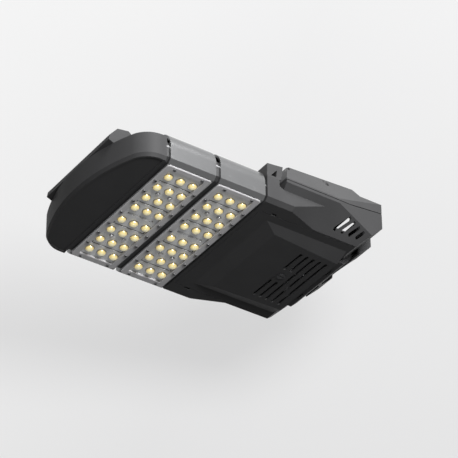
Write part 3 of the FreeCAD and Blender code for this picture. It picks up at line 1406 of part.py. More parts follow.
def bow_outline(drawing, back, half, inset, corner):
    """The nose's plan: a bowed front that turns into two straight sides through round corners."""
    centre = f"({nose_tip} - nose_bow)"
    bow_radius = value(f"nose_bow - {inset}")
    turn_radius = value(corner)
    side = value(half)
    back_x = value(back)
    middle = value(centre)
    turn_y = side - turn_radius
    turn_x = middle + math.sqrt((bow_radius - turn_radius) ** 2 - turn_y ** 2)
    angle = math.atan2(turn_y, turn_x - middle)
    normal = FreeCAD.Vector(0, 0, 1)
    bow_ring = Part.Circle(FreeCAD.Vector(middle, 0, 0), normal, bow_radius)
    low_ring = Part.Circle(FreeCAD.Vector(turn_x, -turn_y, 0), normal, turn_radius)
    high_ring = Part.Circle(FreeCAD.Vector(turn_x, turn_y, 0), normal, turn_radius)
    corners = [FreeCAD.Vector(x, y, 0) for x, y in (
        (back_x, -side), (turn_x, -side), (turn_x, side), (back_x, side))]
    low = drawing.addGeometry(Part.LineSegment(corners[0], corners[1]), False)
    low_turn = drawing.addGeometry(Part.ArcOfCircle(low_ring, -math.pi / 2, -angle), False)
    bow = drawing.addGeometry(Part.ArcOfCircle(bow_ring, -angle, angle), False)
    high_turn = drawing.addGeometry(Part.ArcOfCircle(high_ring, angle, math.pi / 2), False)
    high = drawing.addGeometry(Part.LineSegment(corners[2], corners[3]), False)
    rear = drawing.addGeometry(Part.LineSegment(corners[3], corners[0]), False)
    for kind, one, one_end, other, other_end in (
        ("Tangent", low, 2, low_turn, 1),
        ("Tangent", low_turn, 2, bow, 1),
        ("Tangent", bow, 2, high_turn, 1),
        ("Tangent", high_turn, 2, high, 1),
        ("Coincident", high, 2, rear, 1),
        ("Coincident", rear, 2, low, 1),
    ):
        drawing.addConstraint(Sketcher.Constraint(kind, one, one_end, other, other_end))
    fix(drawing, "DistanceX", bow, 3, centre)
    fix(drawing, "DistanceY", bow, 3, "0")
    fix(drawing, "Radius", bow, 0, f"nose_bow - {inset}")
    fix(drawing, "Radius", low_turn, 0, corner)
    fix(drawing, "Radius", high_turn, 0, corner)
    fix(drawing, "DistanceX", low, 1, back)
    fix(drawing, "DistanceY", low, 1, f"-({half})")
    fix(drawing, "DistanceX", high, 2, back)
    fix(drawing, "DistanceY", high, 2, half)


def nose_form():
    """The nose's outer form: an undercut foot, an upright wall and a slope up to the crown."""
    body = new_body("nose_form")
    levels = (
        ("foot", "edge_drop", "edge_drop", "-atan(nose_foot_run / edge_drop)", True),
        ("wall", "edge_drop", "nose_wall_height - edge_drop", "0", False),
        ("slope", "nose_wall_height", "nose_crown - nose_wall_height",
         "-atan(nose_crown_run / (nose_crown - nose_wall_height))", False),
    )
    for label, lift, length, taper, down in levels:
        plan = sketch(body, "XY_Plane", f"nose_{label}_plan", lift)
        bow_outline(plan, f"{nose_back} - nose_crown_run - wall", "side_half", "0", "nose_round")
        layer = pad(body, f"nose_{label}", plan, length, reverse=down)
        layer.setExpression("TaperAngle", link(taper))
        doc.recompute()
    behind = sketch(body, "XZ_Plane", "nose_back_profile")
    rectangle(behind, f"{nose_back} - 4 * nose_crown_run", nose_back, "-nose_crown", "nose_crown * 2")
    pocket(body, "nose_back_cut", behind, "4 * side_half", midplane=True)
    return body


def nose_cap():
    """Cast nose with a bowed front, a sunk field underneath and a hood on top."""
    body = nose_form()
    sunk = new_body("nose_field")
    field = sketch(sunk, "XY_Plane", "nose_field_plan", "-wall")
    rim = "(nose_foot_run + nose_rim)"
    bow_outline(field, f"{nose_back} + nose_rim", f"side_half - {rim}", rim, f"nose_round - {rim}")
    pad(sunk, "nose_field_depth", field, "wall + nose_recess")
    shape = join("Cut", "nose_with_field", body, sunk)
    hood = new_body("hood_form")
    profile = sketch(hood, "XZ_Plane", "hood_profile")
    outline(profile, [
        (f"{nose_tip} - hood_foot_back", "nose_wall_height"),
        (f"{nose_tip} - hood_lip_back", "nose_wall_height + hood_lip_rise"),
        (f"{nose_tip} - hood_brow_back", "nose_wall_height + hood_brow_rise"),
        (f"{nose_tip} - hood_crown_back", "nose_wall_height + hood_crown_rise"),
        (f"{nose_tip} - hood_top_back", "nose_wall_height + hood_top_rise"),
        (f"{nose_tip} - hood_rear_back", "nose_wall_height + hood_rear_rise"),
        (f"{nose_tip} - hood_rear_back", "nose_wall_height"),
    ])
    pad(hood, "hood_length", profile, "2 * hood_half", midplane=True)
    shape = join("Fuse", "nose_with_hood", shape, hood)
    cavity = new_body("nose_cavity")
    room = sketch(cavity, "XY_Plane", "nose_cavity_plan", "nose_recess + wall")
    bow_outline(room, f"{nose_back} - wall", "fin_span", "wall", "nose_round / 2")
    pad(cavity, "nose_cavity_depth", room, "nose_wall_height - nose_recess - 2 * wall")
    upper = sketch(cavity, "XY_Plane", "nose_cavity_upper_plan", "nose_wall_height / 2")
    deep = "(nose_crown_run + wall)"
    bow_outline(upper, f"{nose_back} - wall", "fin_span - wall", deep, "wall * 3")
    pad(cavity, "nose_cavity_upper_depth", upper, "nose_crown - wall - nose_wall_height / 2")
    shape = join("Cut", "nose_hollow", shape, cavity)
    holes = new_body("nose_hole_cutter")
    rods = sketch(holes, "YZ_Plane", "nose_rod_holes", f"{nose_back} - wall")
    for sign in (1, -1):
        circle(rods, f"{sign} * rod_half", "rod_height", "rod_radius")
    pad(holes, "nose_rod_depth", rods, "wall + rod_grip")
    pins = sketch(holes, "YZ_Plane", "nose_pin_holes", f"{nose_back} - wall")
    for sign in (1, -1):
        circle(pins, f"{sign} * pin_half", "rod_height", "locator_radius")
    pad(holes, "nose_pin_depth", pins, "wall + locator_depth")
    return join("Cut", "nose_drilled", shape, holes)


keep(nose_cap(), "nose_cap")


# Driver, tray, terminals and pole clamp inside the housing

pillar_places = [
    (along, f"{sign} * pillar_half") for along in ("pillar_rear", "pillar_front") for sign in (1, -1)
]


def driver_tray():
    """Sheet that carries the driver and the terminals on four pillars."""
    body = new_body("tray_form")
    plan = sketch(body, "XY_Plane", "tray_plan", "tray_height")
    rectangle(plan, "tray_rear", "tray_front", "-tray_half", "tray_half")
    pad(body, "tray_pad", plan, "tray_thick")
    tray = drill("tray_pillar_holes", body, pillar_places, "tray_height - tray_thick", "tray_thick * 3",
                 "screw_radius + screw_play")
    return drill("tray_thread_holes", tray, driver_screw_places() + clamp_screw_places(),
                 "tray_height - tray_thick", "tray_thick * 3", "screw_radius")


def driver_screw_places():
    """Two screws through the ears at the driver's ends."""
    along = "driver_rear + driver_width / 2"
    return [(along, "driver_side - ear / 2"), (along, "driver_side + driver_length + ear / 2")]


def clamp_screw_places():
    """Two screws of the cable clamp."""
    return [("clamp_x", f"clamp_y + {sign} * (clamp_span - clamp_bar) / 2") for sign in (1, -1)]


def led_driver():
    """Sealed driver with a mounting ear at each end."""
    body = new_body("driver_form")
    plan = sketch(body, "XY_Plane", "driver_plan", "tray_height")
    rectangle(plan, "driver_rear", "driver_rear + driver_width",
              "driver_side", "driver_side + driver_length")
    block = pad(body, "driver_block", plan, "driver_height", reverse=True)
    low = value("tray_height - driver_height")
    lower = edges_where(block, lambda point: near(point.z, low))
    chamfer(body, "driver_edges", block, lower, "driver_edge")
    ears = sketch(body, "XY_Plane", "driver_ears", "tray_height")
    rectangle(ears, "driver_rear + driver_width / 4", "driver_rear + driver_width * 3 / 4",
              "driver_side - ear", "driver_side + driver_length + ear")
    pad(body, "driver_ear_pad", ears, "tray_thick", reverse=True)
    holes = sketch(body, "XY_Plane", "driver_ear_holes", "tray_height - tray_thick")
    for along, across in driver_screw_places():
        circle(holes, along, across, "screw_radius + screw_play")
    pocket(body, "driver_ear_bores", holes, "tray_thick", reverse=True)
    return body


def terminal_block():
    """Three-pole terminal block with a row of wire entries."""
    body = new_body("terminal_form")
    plan = sketch(body, "XY_Plane", "terminal_plan", "tray_height")
    rectangle(plan, "terminal_rear", "terminal_rear + terminal_depth",
              "terminal_side", "terminal_side + terminal_width")
    pad(body, "terminal_block_pad", plan, "terminal_depth", reverse=True)
    mouths = sketch(body, "YZ_Plane", "terminal_mouths", "terminal_rear")
    for index in range(3):
        across = f"terminal_side + terminal_width * {2 * index + 1} / 6"
        circle(mouths, across, "tray_height - terminal_depth / 2", "terminal_mouth")
    pocket(body, "terminal_mouth_cut", mouths, "terminal_depth / 2", reverse=True)
    return body


def surge_protector():
    """Surge protector beside the driver."""
    body = new_body("surge_form")
    plan = sketch(body, "XY_Plane", "surge_plan", "tray_height")
    rectangle(plan, "surge_rear", "surge_rear + surge_length",
              "terminal_side", "terminal_side + terminal_width")
    block = pad(body, "surge_block", plan, "surge_height", reverse=True)
    low = value("tray_height - surge_height")
    lower = edges_where(block, lambda point: near(point.z, low))
    chamfer(body, "surge_edges", block, lower, "driver_edge")
    return body


def cable_clamp():
    """Strap that holds the mains cable against the tray."""
    body = new_body("clamp_form")
    plan = sketch(body, "XY_Plane", "clamp_plan", "tray_height")
    rectangle(plan, "clamp_x - clamp_bar / 2", "clamp_x + clamp_bar / 2",
              "clamp_y - clamp_span / 2", "clamp_y + clamp_span / 2")
    pad(body, "clamp_block", plan, "clamp_bar", reverse=True)
    groove = sketch(body, "YZ_Plane", "clamp_groove", "clamp_x - clamp_bar")
    circle(groove, "clamp_y", "tray_height", "clamp_bar * 0.6")
    pocket(body, "clamp_groove_cut", groove, "clamp_bar * 2", reverse=True)
    holes = sketch(body, "XY_Plane", "clamp_screw_holes", "tray_height - clamp_bar")
    for along, across in clamp_screw_places():
        circle(holes, along, across, "screw_radius + screw_play")
    pocket(body, "clamp_screw_bores", holes, "clamp_bar", reverse=True)
    return body


def screws_down(places, face, length):
    """Screws with their heads on top of a face and shanks pointing down."""
    solids = []
    for along, across in places:
        place = (value(along), value(across), value(face))
        shank = prism(shank_sides, value("screw_radius"), value(length), place, (0, 0, -1))
        head = prism(head_sides, value("screw_head"), value("screw_head_height"), place, (0, 0, 1))
        solids.append(shank.fuse(head))
    return Part.makeCompound(solids)


def pole_clamp():
    """Set screws that grip the pole, and their lock nuts."""
    bolts = []
    nuts = []
    for index in range(2):
        along = value(f"clamp_first + clamp_pitch * {index}")
        low = value("lock_seat - clamp_nut - wall / 2")
        tip = value("axis_height - bore_radius") - value("door_play")
        bolt = Part.makeCylinder(value("clamp_radius"), tip - low, FreeCAD.Vector(along, 0, low))
        key = prism(6, value("clamp_radius * 0.6"), value("clamp_radius"), (along, 0, low), (0, 0, 1))
        bolts.append(bolt.cut(key))
        place = (along, 0, value("lock_seat"))
        nut = prism(6, value("clamp_radius * 1.85"), value("clamp_nut"), place, (0, 0, -1))
        nuts.append(nut.cut(cylinder("clamp_radius", "clamp_nut * 2", place, (0, 0, -1))))
    return Part.makeCompound(bolts), Part.makeCompound(nuts)


def lead_glands():
    """Grommets for the module leads in the housing's front wall."""
    solids = []
    for sign in (1, -1):
        place = (value(front_face), sign * value("lead_half"), value("lead_height"))
        tube = cylinder("lead_radius", "wall", place, (-1, 0, 0))
        inner = (value(f"{front_face} - wall"), place[1], place[2])
        flange = cylinder("lead_radius * 1.4", "wall", inner, (-1, 0, 0))
        solids.append(tube.fuse(flange).cut(cylinder("lead_radius * 0.55", "wall * 3", place, (-1, 0, 0))))
    return Part.makeCompound(solids)


keep(driver_tray(), "driver_tray")
pillar_screws = screws_down(pillar_places, "tray_height + tray_thick", "screw_grip / 2 + tray_thick")
keep_shape(pillar_screws, "tray_screws")
keep(led_driver(), "led_driver")
keep_shape(small_screws(driver_screw_places(), "tray_height - tray_thick", "tray_height + tray_thick"),
           "driver_screws")
keep(terminal_block(), "terminal_block")
keep(surge_protector(), "surge_protector")
keep(cable_clamp(), "cable_clamp")
keep_shape(small_screws(clamp_screw_places(), "tray_height - clamp_bar", "tray_height + tray_thick"),
           "cable_clamp_screws")
clamp_bolts, clamp_nuts = pole_clamp()
keep_shape(clamp_bolts, "pole_clamp_bolts")
keep_shape(clamp_nuts, "pole_clamp_nuts")
keep_shape(lead_glands(), "lead_glands")

doc.recompute()
for item in doc.Objects:
    if "Invalid" in item.State or "Error" in item.State:
        raise RuntimeError(f"{item.Name} does not build: {item.State}")
for item in pieces:
    if item.Shape.isNull() or not item.Shape.isValid():
        raise RuntimeError(f"{item.Label} has no valid shape")
    print(item.Label, len(item.Shape.Solids), round(item.Shape.Volume), item.Shape.BoundBox)

os.makedirs("parts", exist_ok=True)
for item in pieces:
    item.Shape.exportStep(f"parts/{item.Label}.step")
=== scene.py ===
import json
import math

import bmesh
import bpy
import numpy as np
from mathutils import Matrix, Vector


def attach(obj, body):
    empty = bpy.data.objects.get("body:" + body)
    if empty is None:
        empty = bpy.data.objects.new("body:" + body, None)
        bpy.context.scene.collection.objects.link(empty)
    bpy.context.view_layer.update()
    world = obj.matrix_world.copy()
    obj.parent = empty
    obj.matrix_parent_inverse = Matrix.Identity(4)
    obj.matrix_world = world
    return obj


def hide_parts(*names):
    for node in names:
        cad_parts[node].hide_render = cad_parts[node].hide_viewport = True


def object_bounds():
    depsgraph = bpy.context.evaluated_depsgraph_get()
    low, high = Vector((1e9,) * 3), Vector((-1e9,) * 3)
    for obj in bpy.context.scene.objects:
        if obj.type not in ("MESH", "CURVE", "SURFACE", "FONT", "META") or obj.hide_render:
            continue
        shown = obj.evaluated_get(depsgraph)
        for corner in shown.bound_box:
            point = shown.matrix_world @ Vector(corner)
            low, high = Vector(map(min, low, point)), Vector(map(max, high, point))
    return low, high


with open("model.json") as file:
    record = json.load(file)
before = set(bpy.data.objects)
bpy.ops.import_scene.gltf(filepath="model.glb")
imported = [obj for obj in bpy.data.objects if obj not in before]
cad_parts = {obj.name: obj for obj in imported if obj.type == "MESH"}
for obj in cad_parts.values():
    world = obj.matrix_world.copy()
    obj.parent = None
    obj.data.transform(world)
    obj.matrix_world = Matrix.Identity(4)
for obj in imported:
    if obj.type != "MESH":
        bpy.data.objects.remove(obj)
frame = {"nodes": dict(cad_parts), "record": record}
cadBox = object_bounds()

print("frame loaded:", len(frame["nodes"]), "pieces")
mm = 0.001


# A socket of a shader. Its sums add Math nodes, and node() adds any other node.
class Wire:
    def __init__(self, tree, socket=None):
        self.tree = tree
        self.socket = socket

    def node(self, kind, settings=None, inputs=None, output=0):
        made = self.tree.nodes.new(kind)
        for name, setting in (settings or {}).items():
            if name == "stops":
                fillRamp(made.color_ramp, setting)
            else:
                setattr(made, name, setting)
        for name, given in (inputs or {}).items():
            if isinstance(given, Wire):
                self.tree.links.new(given.socket, made.inputs[name])
            else:
                made.inputs[name].default_value = given
        return Wire(self.tree, made.outputs[output])

    def maths(self, operation, other):
        return self.node("ShaderNodeMath", {"operation": operation}, {0: self, 1: other})

    def __add__(self, other):
        return self.maths("ADD", other)

    def __sub__(self, other):
        return self.maths("SUBTRACT", other)

    def __mul__(self, other):
        return self.maths("MULTIPLY", other)

    __radd__ = __add__


def fillRamp(ramp, stops):
    while len(ramp.elements) < len(stops):
        ramp.elements.new(1.0)
    for element, (place, grey) in zip(ramp.elements, stops):
        element.position = place
        element.color = grey if isinstance(grey, tuple) else (grey, grey, grey, 1)


def rgba(colour):
    return (*colour, 1.0)


# The mix node's sockets 6 and 7 take its colours, and its output 2 gives one.
def blendColours(start, factor, first, second):
    inputs = {0: factor}
    for slot, colour in ((6, first), (7, second)):
        inputs[slot] = colour if isinstance(colour, Wire) else rgba(colour)
    return start.node("ShaderNodeMix", {"data_type": "RGBA"}, inputs, 2)


def noise(start, place, scale, detail=2.0, roughness=0.5):
    inputs = {"Vector": place, "Scale": scale, "Detail": detail, "Roughness": roughness}
    return start.node("ShaderNodeTexNoise", {}, inputs, "Fac")


def ramp(start, factor, stops):
    return start.node("ShaderNodeValToRGB", {"stops": stops}, {"Fac": factor}, "Color")


def newPaint(name):
    paint = bpy.data.materials.new(name)
    paint.use_nodes = True
    paint.node_tree.nodes.clear()
    start = Wire(paint.node_tree)
    return paint, start, start.node("ShaderNodeTexCoord", output="Object")


def linkOutput(start, shader, kind="ShaderNodeOutputMaterial"):
    output = start.tree.nodes.new(kind)
    start.tree.links.new(shader.socket, output.inputs["Surface"])


# The bump is a strength and a height in mm; what is fixed is named as on the shader.
def closePaint(start, colour, roughness, height, bump, fixed):
    strength, distance = bump
    normal = start.node("ShaderNodeBump", {}, {
        "Strength": strength, "Distance": distance * mm, "Height": height}, "Normal")
    inputs = {"Base Color": colour, "Roughness": roughness, "Normal": normal, **fixed}
    linkOutput(start, start.node("ShaderNodeBsdfPrincipled", {}, inputs, "BSDF"))


def shaded(colour, share):
    return [min(1.0, part * share) for part in colour]


# A cloudy change between two tones of one colour.
def cloudy(start, factor, colour, tones):
    darker, lighter = tones
    return blendColours(start, factor, shaded(colour, darker), shaded(colour, lighter))


# A number that swings about its middle as the pattern goes from 0 to 1.
def swing(pattern, span):
    return (pattern - 0.5) * span


# Powder coat: a fine orange peel, faint cloudy shade, and specks of settled dust.
coatMaking = {
    "tones": (0.86, 1.14), "cloudRough": 0.12, "grainRough": 0.16, "grainFiner": 3.1,
    "grainShare": 0.45, "dustGain": 1.9, "dustLift": 0.02,
    "speckStops": [(0.0, 0.0), (0.66, 0.0), (0.78, 1.0)],
}


def powderCoat(name, look):
    paint, start, place = newPaint(name)
    cloud = noise(start, place, look["cloud"], detail=3.0)
    peel = noise(start, place, look["peel"], detail=1.5)
    grain = noise(start, place, look["peel"] * coatMaking["grainFiner"])
    speck = ramp(start, noise(start, place, look["speck"], roughness=0.6), coatMaking["speckStops"])
    dusty = [part * coatMaking["dustGain"] + coatMaking["dustLift"] for part in look["colour"]]
    clean = cloudy(start, cloud, look["colour"], coatMaking["tones"])
    colour = blendColours(start, speck * look["dust"], clean, dusty)
    roughness = (look["roughness"] + swing(cloud, coatMaking["cloudRough"])
                 + swing(grain, coatMaking["grainRough"]))
    closePaint(start, colour, roughness, peel + grain * coatMaking["grainShare"], look["bump"],
               {"Specular IOR Level": look["sheen"]})
    return paint


# Satin metal with fine drawn lines: the pattern is stretched along one direction.
metalMaking = {"tones": (0.94, 1.05), "lineShare": 0.6, "cloudShare": 0.4, "rough": 0.05}


def drawnMetal(name, look):
    paint, start, place = newPaint(name)
    stretched = {"Vector": place, "Scale": look["stretch"]}
    drawn = start.node("ShaderNodeMapping", {}, stretched, "Vector")
    lines = noise(start, drawn, look["lines"], detail=4.0, roughness=0.65)
    cloud = noise(start, place, look["cloud"])
    pattern = lines * metalMaking["lineShare"] + cloud * metalMaking["cloudShare"]
    colour = cloudy(start, pattern, look["colour"], metalMaking["tones"])
    roughness = (look["roughness"] + swing(lines, metalMaking["rough"])
                 + swing(cloud, metalMaking["rough"]))
    closePaint(start, colour, roughness, lines, look["bump"], {"Metallic": look["metallic"]})
    return paint


# Moulded plastic or rubber: a spark-eroded grain and faint flow marks.
skinMaking = {"tones": (0.88, 1.1), "rough": 0.18}


def mouldedSkin(name, look):
    paint, start, place = newPaint(name)
    grain = noise(start, place, look["grain"])
    colour = cloudy(start, noise(start, place, look["cloud"]), look["colour"], skinMaking["tones"])
    roughness = look["roughness"] + swing(grain, skinMaking["rough"])
    closePaint(start, colour, roughness, grain, look["bump"], look.get("fixed", {}))
    return paint


# Patterns are given in cells to the metre.
coatLooks = {
    "castGrey": {"colour": (0.040, 0.040, 0.041), "roughness": 0.50, "cloud": 26.0, "peel": 900.0,
                 "speck": 240.0, "dust": 0.10, "bump": (0.22, 0.10), "sheen": 0.05},
    "coverGrey": {"colour": (0.046, 0.046, 0.047), "roughness": 0.48, "cloud": 22.0, "peel": 900.0,
                  "speck": 220.0, "dust": 0.12, "bump": (0.22, 0.10), "sheen": 0.05},
    "barGrey": {"colour": (0.046, 0.046, 0.047), "roughness": 0.42, "cloud": 30.0, "peel": 1000.0,
                "speck": 260.0, "dust": 0.10, "bump": (0.18, 0.10), "sheen": 0.05},
    "bezelGrey": {"colour": (0.50, 0.495, 0.505), "roughness": 0.40, "cloud": 40.0, "peel": 1100.0,
                  "speck": 300.0, "dust": 0.10, "bump": (0.15, 0.08), "sheen": 0.05},
}
metalLooks = {
    "sinkSatin": {"colour": (0.185, 0.187, 0.19), "roughness": 0.26, "metallic": 0.85,
                  "lines": 90.0, "stretch": (1.0, 14.0, 14.0), "cloud": 30.0, "bump": (0.03, 0.02)},
    "screwSteel": {"colour": (0.55, 0.55, 0.56), "roughness": 0.32, "metallic": 1.0,
                   "lines": 400.0, "stretch": (1.0, 1.0, 8.0), "cloud": 160.0,
                   "bump": (0.12, 0.04)},
    "screwBlack": {"colour": (0.030, 0.030, 0.032), "roughness": 0.40, "metallic": 0.6,
                   "lines": 500.0, "stretch": (1.0, 1.0, 6.0), "cloud": 200.0,
                   "bump": (0.12, 0.04)},
    "trayZinc": {"colour": (0.52, 0.53, 0.55), "roughness": 0.38, "metallic": 0.9,
                 "lines": 120.0, "stretch": (1.0, 9.0, 1.0), "cloud": 60.0, "bump": (0.10, 0.05)},
}
skinLooks = {
    "lensClear": {"colour": (0.52, 0.53, 0.54), "roughness": 0.30, "cloud": 60.0,
                  "grain": 1600.0, "bump": (0.06, 0.04),
                  "fixed": {"Coat Weight": 0.5, "Coat Roughness": 0.12, "IOR": 1.49}},
    "boardWhite": {"colour": (0.78, 0.78, 0.76), "roughness": 0.45, "cloud": 90.0,
                   "grain": 1500.0, "bump": (0.08, 0.04)},
    "chipYellow": {"colour": (0.90, 0.66, 0.10), "roughness": 0.40, "cloud": 700.0,
                   "grain": 3000.0, "bump": (0.10, 0.03)},
    "spacerBlack": {"colour": (0.012, 0.012, 0.013), "roughness": 0.55, "cloud": 50.0,
                    "grain": 1500.0, "bump": (0.20, 0.06)},
    "gasketBlack": {"colour": (0.018, 0.018, 0.019), "roughness": 0.72, "cloud": 70.0,
                    "grain": 2200.0, "bump": (0.25, 0.06)},
    "driverWhite": {"colour": (0.66, 0.66, 0.64), "roughness": 0.50, "cloud": 30.0,
                    "grain": 1400.0, "bump": (0.15, 0.06)},
    "terminalPlastic": {"colour": (0.62, 0.62, 0.57), "roughness": 0.46, "cloud": 60.0,
                        "grain": 1700.0, "bump": (0.12, 0.05)},
    "surgeBlue": {"colour": (0.05, 0.09, 0.24), "roughness": 0.42, "cloud": 60.0,
                  "grain": 1700.0, "bump": (0.12, 0.05)},
}
paints = {name: powderCoat(name, look) for name, look in coatLooks.items()}
paints.update({name: drawnMetal(name, look) for name, look in metalLooks.items()})
paints.update({name: mouldedSkin(name, look) for name, look in skinLooks.items()})
slotPaints = {
    "cast_grey": "castGrey", "cover_grey": "coverGrey", "sink_satin": "sinkSatin",
    "bar_grey": "barGrey", "bezel_grey": "bezelGrey", "lens_clear": "lensClear",
    "chip_yellow": "chipYellow", "board_white": "boardWhite", "spacer_black": "spacerBlack",
    "gasket_black": "gasketBlack", "screw_black": "screwBlack", "screw_steel": "screwSteel",
    "driver_white": "driverWhite", "tray_zinc": "trayZinc", "terminal_plastic": "terminalPlastic",
    "surge_blue": "surgeBlue",
}
slotOf = {part["node"]: part["material_slot"] for part in frame["record"]["subparts"]}
bodyOf = {node: body for body, nodes in frame["record"]["behaviour"]["bodies"].items()
          for node in nodes}


def paintOf(node):
    return paints[slotPaints[slotOf[node]]]


for node, piece in frame["nodes"].items():
    piece.data.materials.clear()
    piece.data.materials.append(paintOf(node))
frame["nodes"]["cover_lock_ring"].data.materials[0] = paints["screwBlack"]
print("paints mixed:", len(paints))


def addObject(name, data):
    thing = bpy.data.objects.new(name, data)
    bpy.context.scene.collection.objects.link(thing)
    return thing


# Smooth faces, with every edge from this angle in degrees on kept crisp.
def smoothFaces(mesh, crisp):
    mesh.shade_smooth()
    mesh.set_sharp_from_angle(angle=math.radians(crisp))


# A new piece from points and faces, with the given paint, on the body of the node it stands for.
def makePiece(name, points, faces, node, paint, crisp):
    mesh = bpy.data.meshes.new(name)
    mesh.from_pydata(points.reshape(-1, 3), [], faces)
    mesh.update()
    piece = addObject(name, mesh)
    smoothFaces(mesh, crisp)
    mesh.materials.append(paint)
    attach(piece, bodyOf[node])
    return piece


# A value for each point of a piece, which its paint reads by name.
def storeOnPoints(piece, name, values):
    store = piece.data.attributes.new(name, "FLOAT", "POINT")
    store.data.foreach_set("value", values.astype(np.float32))


# Castings, bezels and heat sinks get soft edges: a copy with its doubled points merged and its
# flat faces joined, then a fine bevel, and shading that follows the large faces.
edgeLooks = {  # bevel width in mm, and the angle in degrees from which an edge is bevelled
    "nose_cap": (0.7, 24), "driver_housing": (0.6, 16), "top_cover": (0.8, 16),
    "driver_cover": (0.6, 6), "cross_bar": (0.5, 24), "bezel_1": (0.3, 24), "bezel_2": (0.3, 24),
    "heat_sink_1": (0.3, 24), "heat_sink_2": (0.3, 24),
}
edgeMaking = {"mergeWithin": 0.002, "flatWithin": 0.4, "bevelSteps": 2, "flatWeight": 90}


def softenEdges(node, width, crisp):
    shape = bmesh.new()
    shape.from_mesh(frame["nodes"][node].data)
    bmesh.ops.remove_doubles(shape, verts=shape.verts, dist=edgeMaking["mergeWithin"] * mm)
    bmesh.ops.dissolve_limit(shape, angle_limit=math.radians(edgeMaking["flatWithin"]),
                             verts=shape.verts, edges=shape.edges)
    mesh = bpy.data.meshes.new(node + "_soft")
    shape.to_mesh(mesh)
    shape.free()
    smoothFaces(mesh, crisp)
    piece = addObject(node + "_soft", mesh)
    mesh.materials.append(paintOf(node))
    edge = piece.modifiers.new("edge", "BEVEL")
    edge.width = width * mm
    edge.segments = edgeMaking["bevelSteps"]
    edge.limit_method = "ANGLE"
    edge.angle_limit = math.radians(crisp)
    edge.use_clamp_overlap = True
    flatFirst = piece.modifiers.new("flatFirst", "WEIGHTED_NORMAL")
    flatFirst.weight = edgeMaking["flatWeight"]
    flatFirst.keep_sharp = True
    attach(piece, bodyOf[node])
    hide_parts(node)


for node, (width, crisp) in edgeLooks.items():
    softenEdges(node, width, crisp)
print("edges softened:", len(edgeLooks))

moduleCentres = {"1": 320.71, "2": 237.91}  # x of each light module; pieces are sized in mm


# Turned pieces: a profile of radius and height is carried round an axis and set at many places.
# point = place + (radius * corner(turn) * cos turn, radius * corner(turn) * sin turn, height)
def turned(profile, places, sides, hexFrom=None):
    profile = np.array(profile, float)
    turn = np.linspace(0, 2 * np.pi, sides, endpoint=False)
    corner = np.ones((len(profile), sides))
    if hexFrom is not None:  # hexagons from this ring on: cos(half) / cos(turn off a flat's middle)
        halfFlat = np.pi / 6
        corner[hexFrom:] = math.cos(halfFlat) / np.cos((turn + halfFlat) % (np.pi / 3) - halfFlat)
    spread = profile[:, :1] * corner
    heights = np.repeat(profile[:, 1:], sides, 1)
    ring = np.stack([spread * np.cos(turn), spread * np.sin(turn), heights], -1)
    points = ring[None] + np.array(places, float)[:, None, None]
    steps, count = len(profile), len(places)
    index = np.arange(count * steps * sides).reshape(count, steps, sides)
    low, high = index[:, :-1], index[:, 1:]
    quads = np.stack([low, np.roll(low, -1, 2), np.roll(high, -1, 2), high], -1).reshape(-1, 4)
    caps = [list(row[::-1]) for row in index[:, 0]] + [list(row) for row in index[:, -1]]
    return points * mm, quads.tolist() + caps


# One value for each ring of a turned piece.
def storeOnRings(piece, name, rings, sides, places):
    storeOnPoints(piece, name, np.tile(np.repeat(rings, sides), len(places)))


def bothSigns(rows):
    return sorted({sign * row for row in rows for sign in (1, -1)})


# All places where these columns cross these rows, on both sides of a module's middle.
def crossings(centre, columns, rows):
    return [(centre + x, y, 0) for x in bothSigns(columns) for y in bothSigns(rows)]


# Lens plate: a grid whose height follows its grooves with their hooked ends and kerbs, the lips
# at both ends, the middle slot and the rings round the screws.
# Heights and sinks are shares of the grooves' depth.
plateLook = {
    "width": 58.0, "length": 240.0, "face": -45.2, "back": -43.0, "crisp": 20,
    "grooves": (31.45, 88.05), "grooveHalf": 25.0, "grooveWidth": 1.7, "grooveDepth": 1.2,
    "hookFrom": -0.5, "hookTo": 3.0, "kerbAside": 1.6, "kerbWidth": 1.0, "kerbHeight": 0.4,
    "lipRow": 113.5, "lipHalf": 22.0, "lipWidth": 1.6, "lipHeight": 1.0,
    "slotHalf": 20.0, "slotAside": 1.25, "slotWidth": 0.9, "slotEnds": 1.6,
    "screwRow": 59.75, "screwColumn": 10.0, "ringRadius": 3.6, "ringHalf": 0.5, "ringSink": 0.6,
    "seatSink": 0.45, "seatSlope": 0.4, "slope": 0.25,
    "cloud": 55.0, "grain": 1500.0, "faceTones": ((0.60, 0.61, 0.62), (0.70, 0.71, 0.72)),
    # The proud white is a painted highlight on the raised lips and kerbs; the dark colour after it
    # is painted shade in the grooves and screw rings, by depth.
    "proud": (1.0, 1.0, 1.0), "proudHighlightStops": [(0.0, 0.0), (0.15, 0.0), (0.5, 1.0)],
    "gap": (0.035, 0.035, 0.038), "gapStops": [(0.0, 0.0), (0.30, 0.0), (0.62, 0.90), (1.0, 0.96)],
    "roughness": 0.28, "rough": 0.1, "bump": (0.05, 0.03),
    "fixed": {"Metallic": 0.3, "Coat Weight": 0.6, "Coat Roughness": 0.10, "IOR": 1.49},
}
plateGrid = {  # lines along and across the module, then the finer ones round an edge and a ring
    "counts": (30, 60), "fine": (-1.5, -1.0, -0.75, -0.5, 0.0, 0.5, 0.75, 1.0, 1.5),
    "ring": (-1.0, -0.92, -0.8, -0.6, -0.35, 0.0, 0.35, 0.6, 0.8, 0.92, 1.0), "ringReach": 1.1,
}


# Even lines over a span, and finer ones where the shape needs them.
def gridLines(half, count, finer):
    lines = np.unique(np.concatenate([np.linspace(-half, half, count)] + finer).round(3))
    return lines[(lines >= -half) & (lines <= half)]


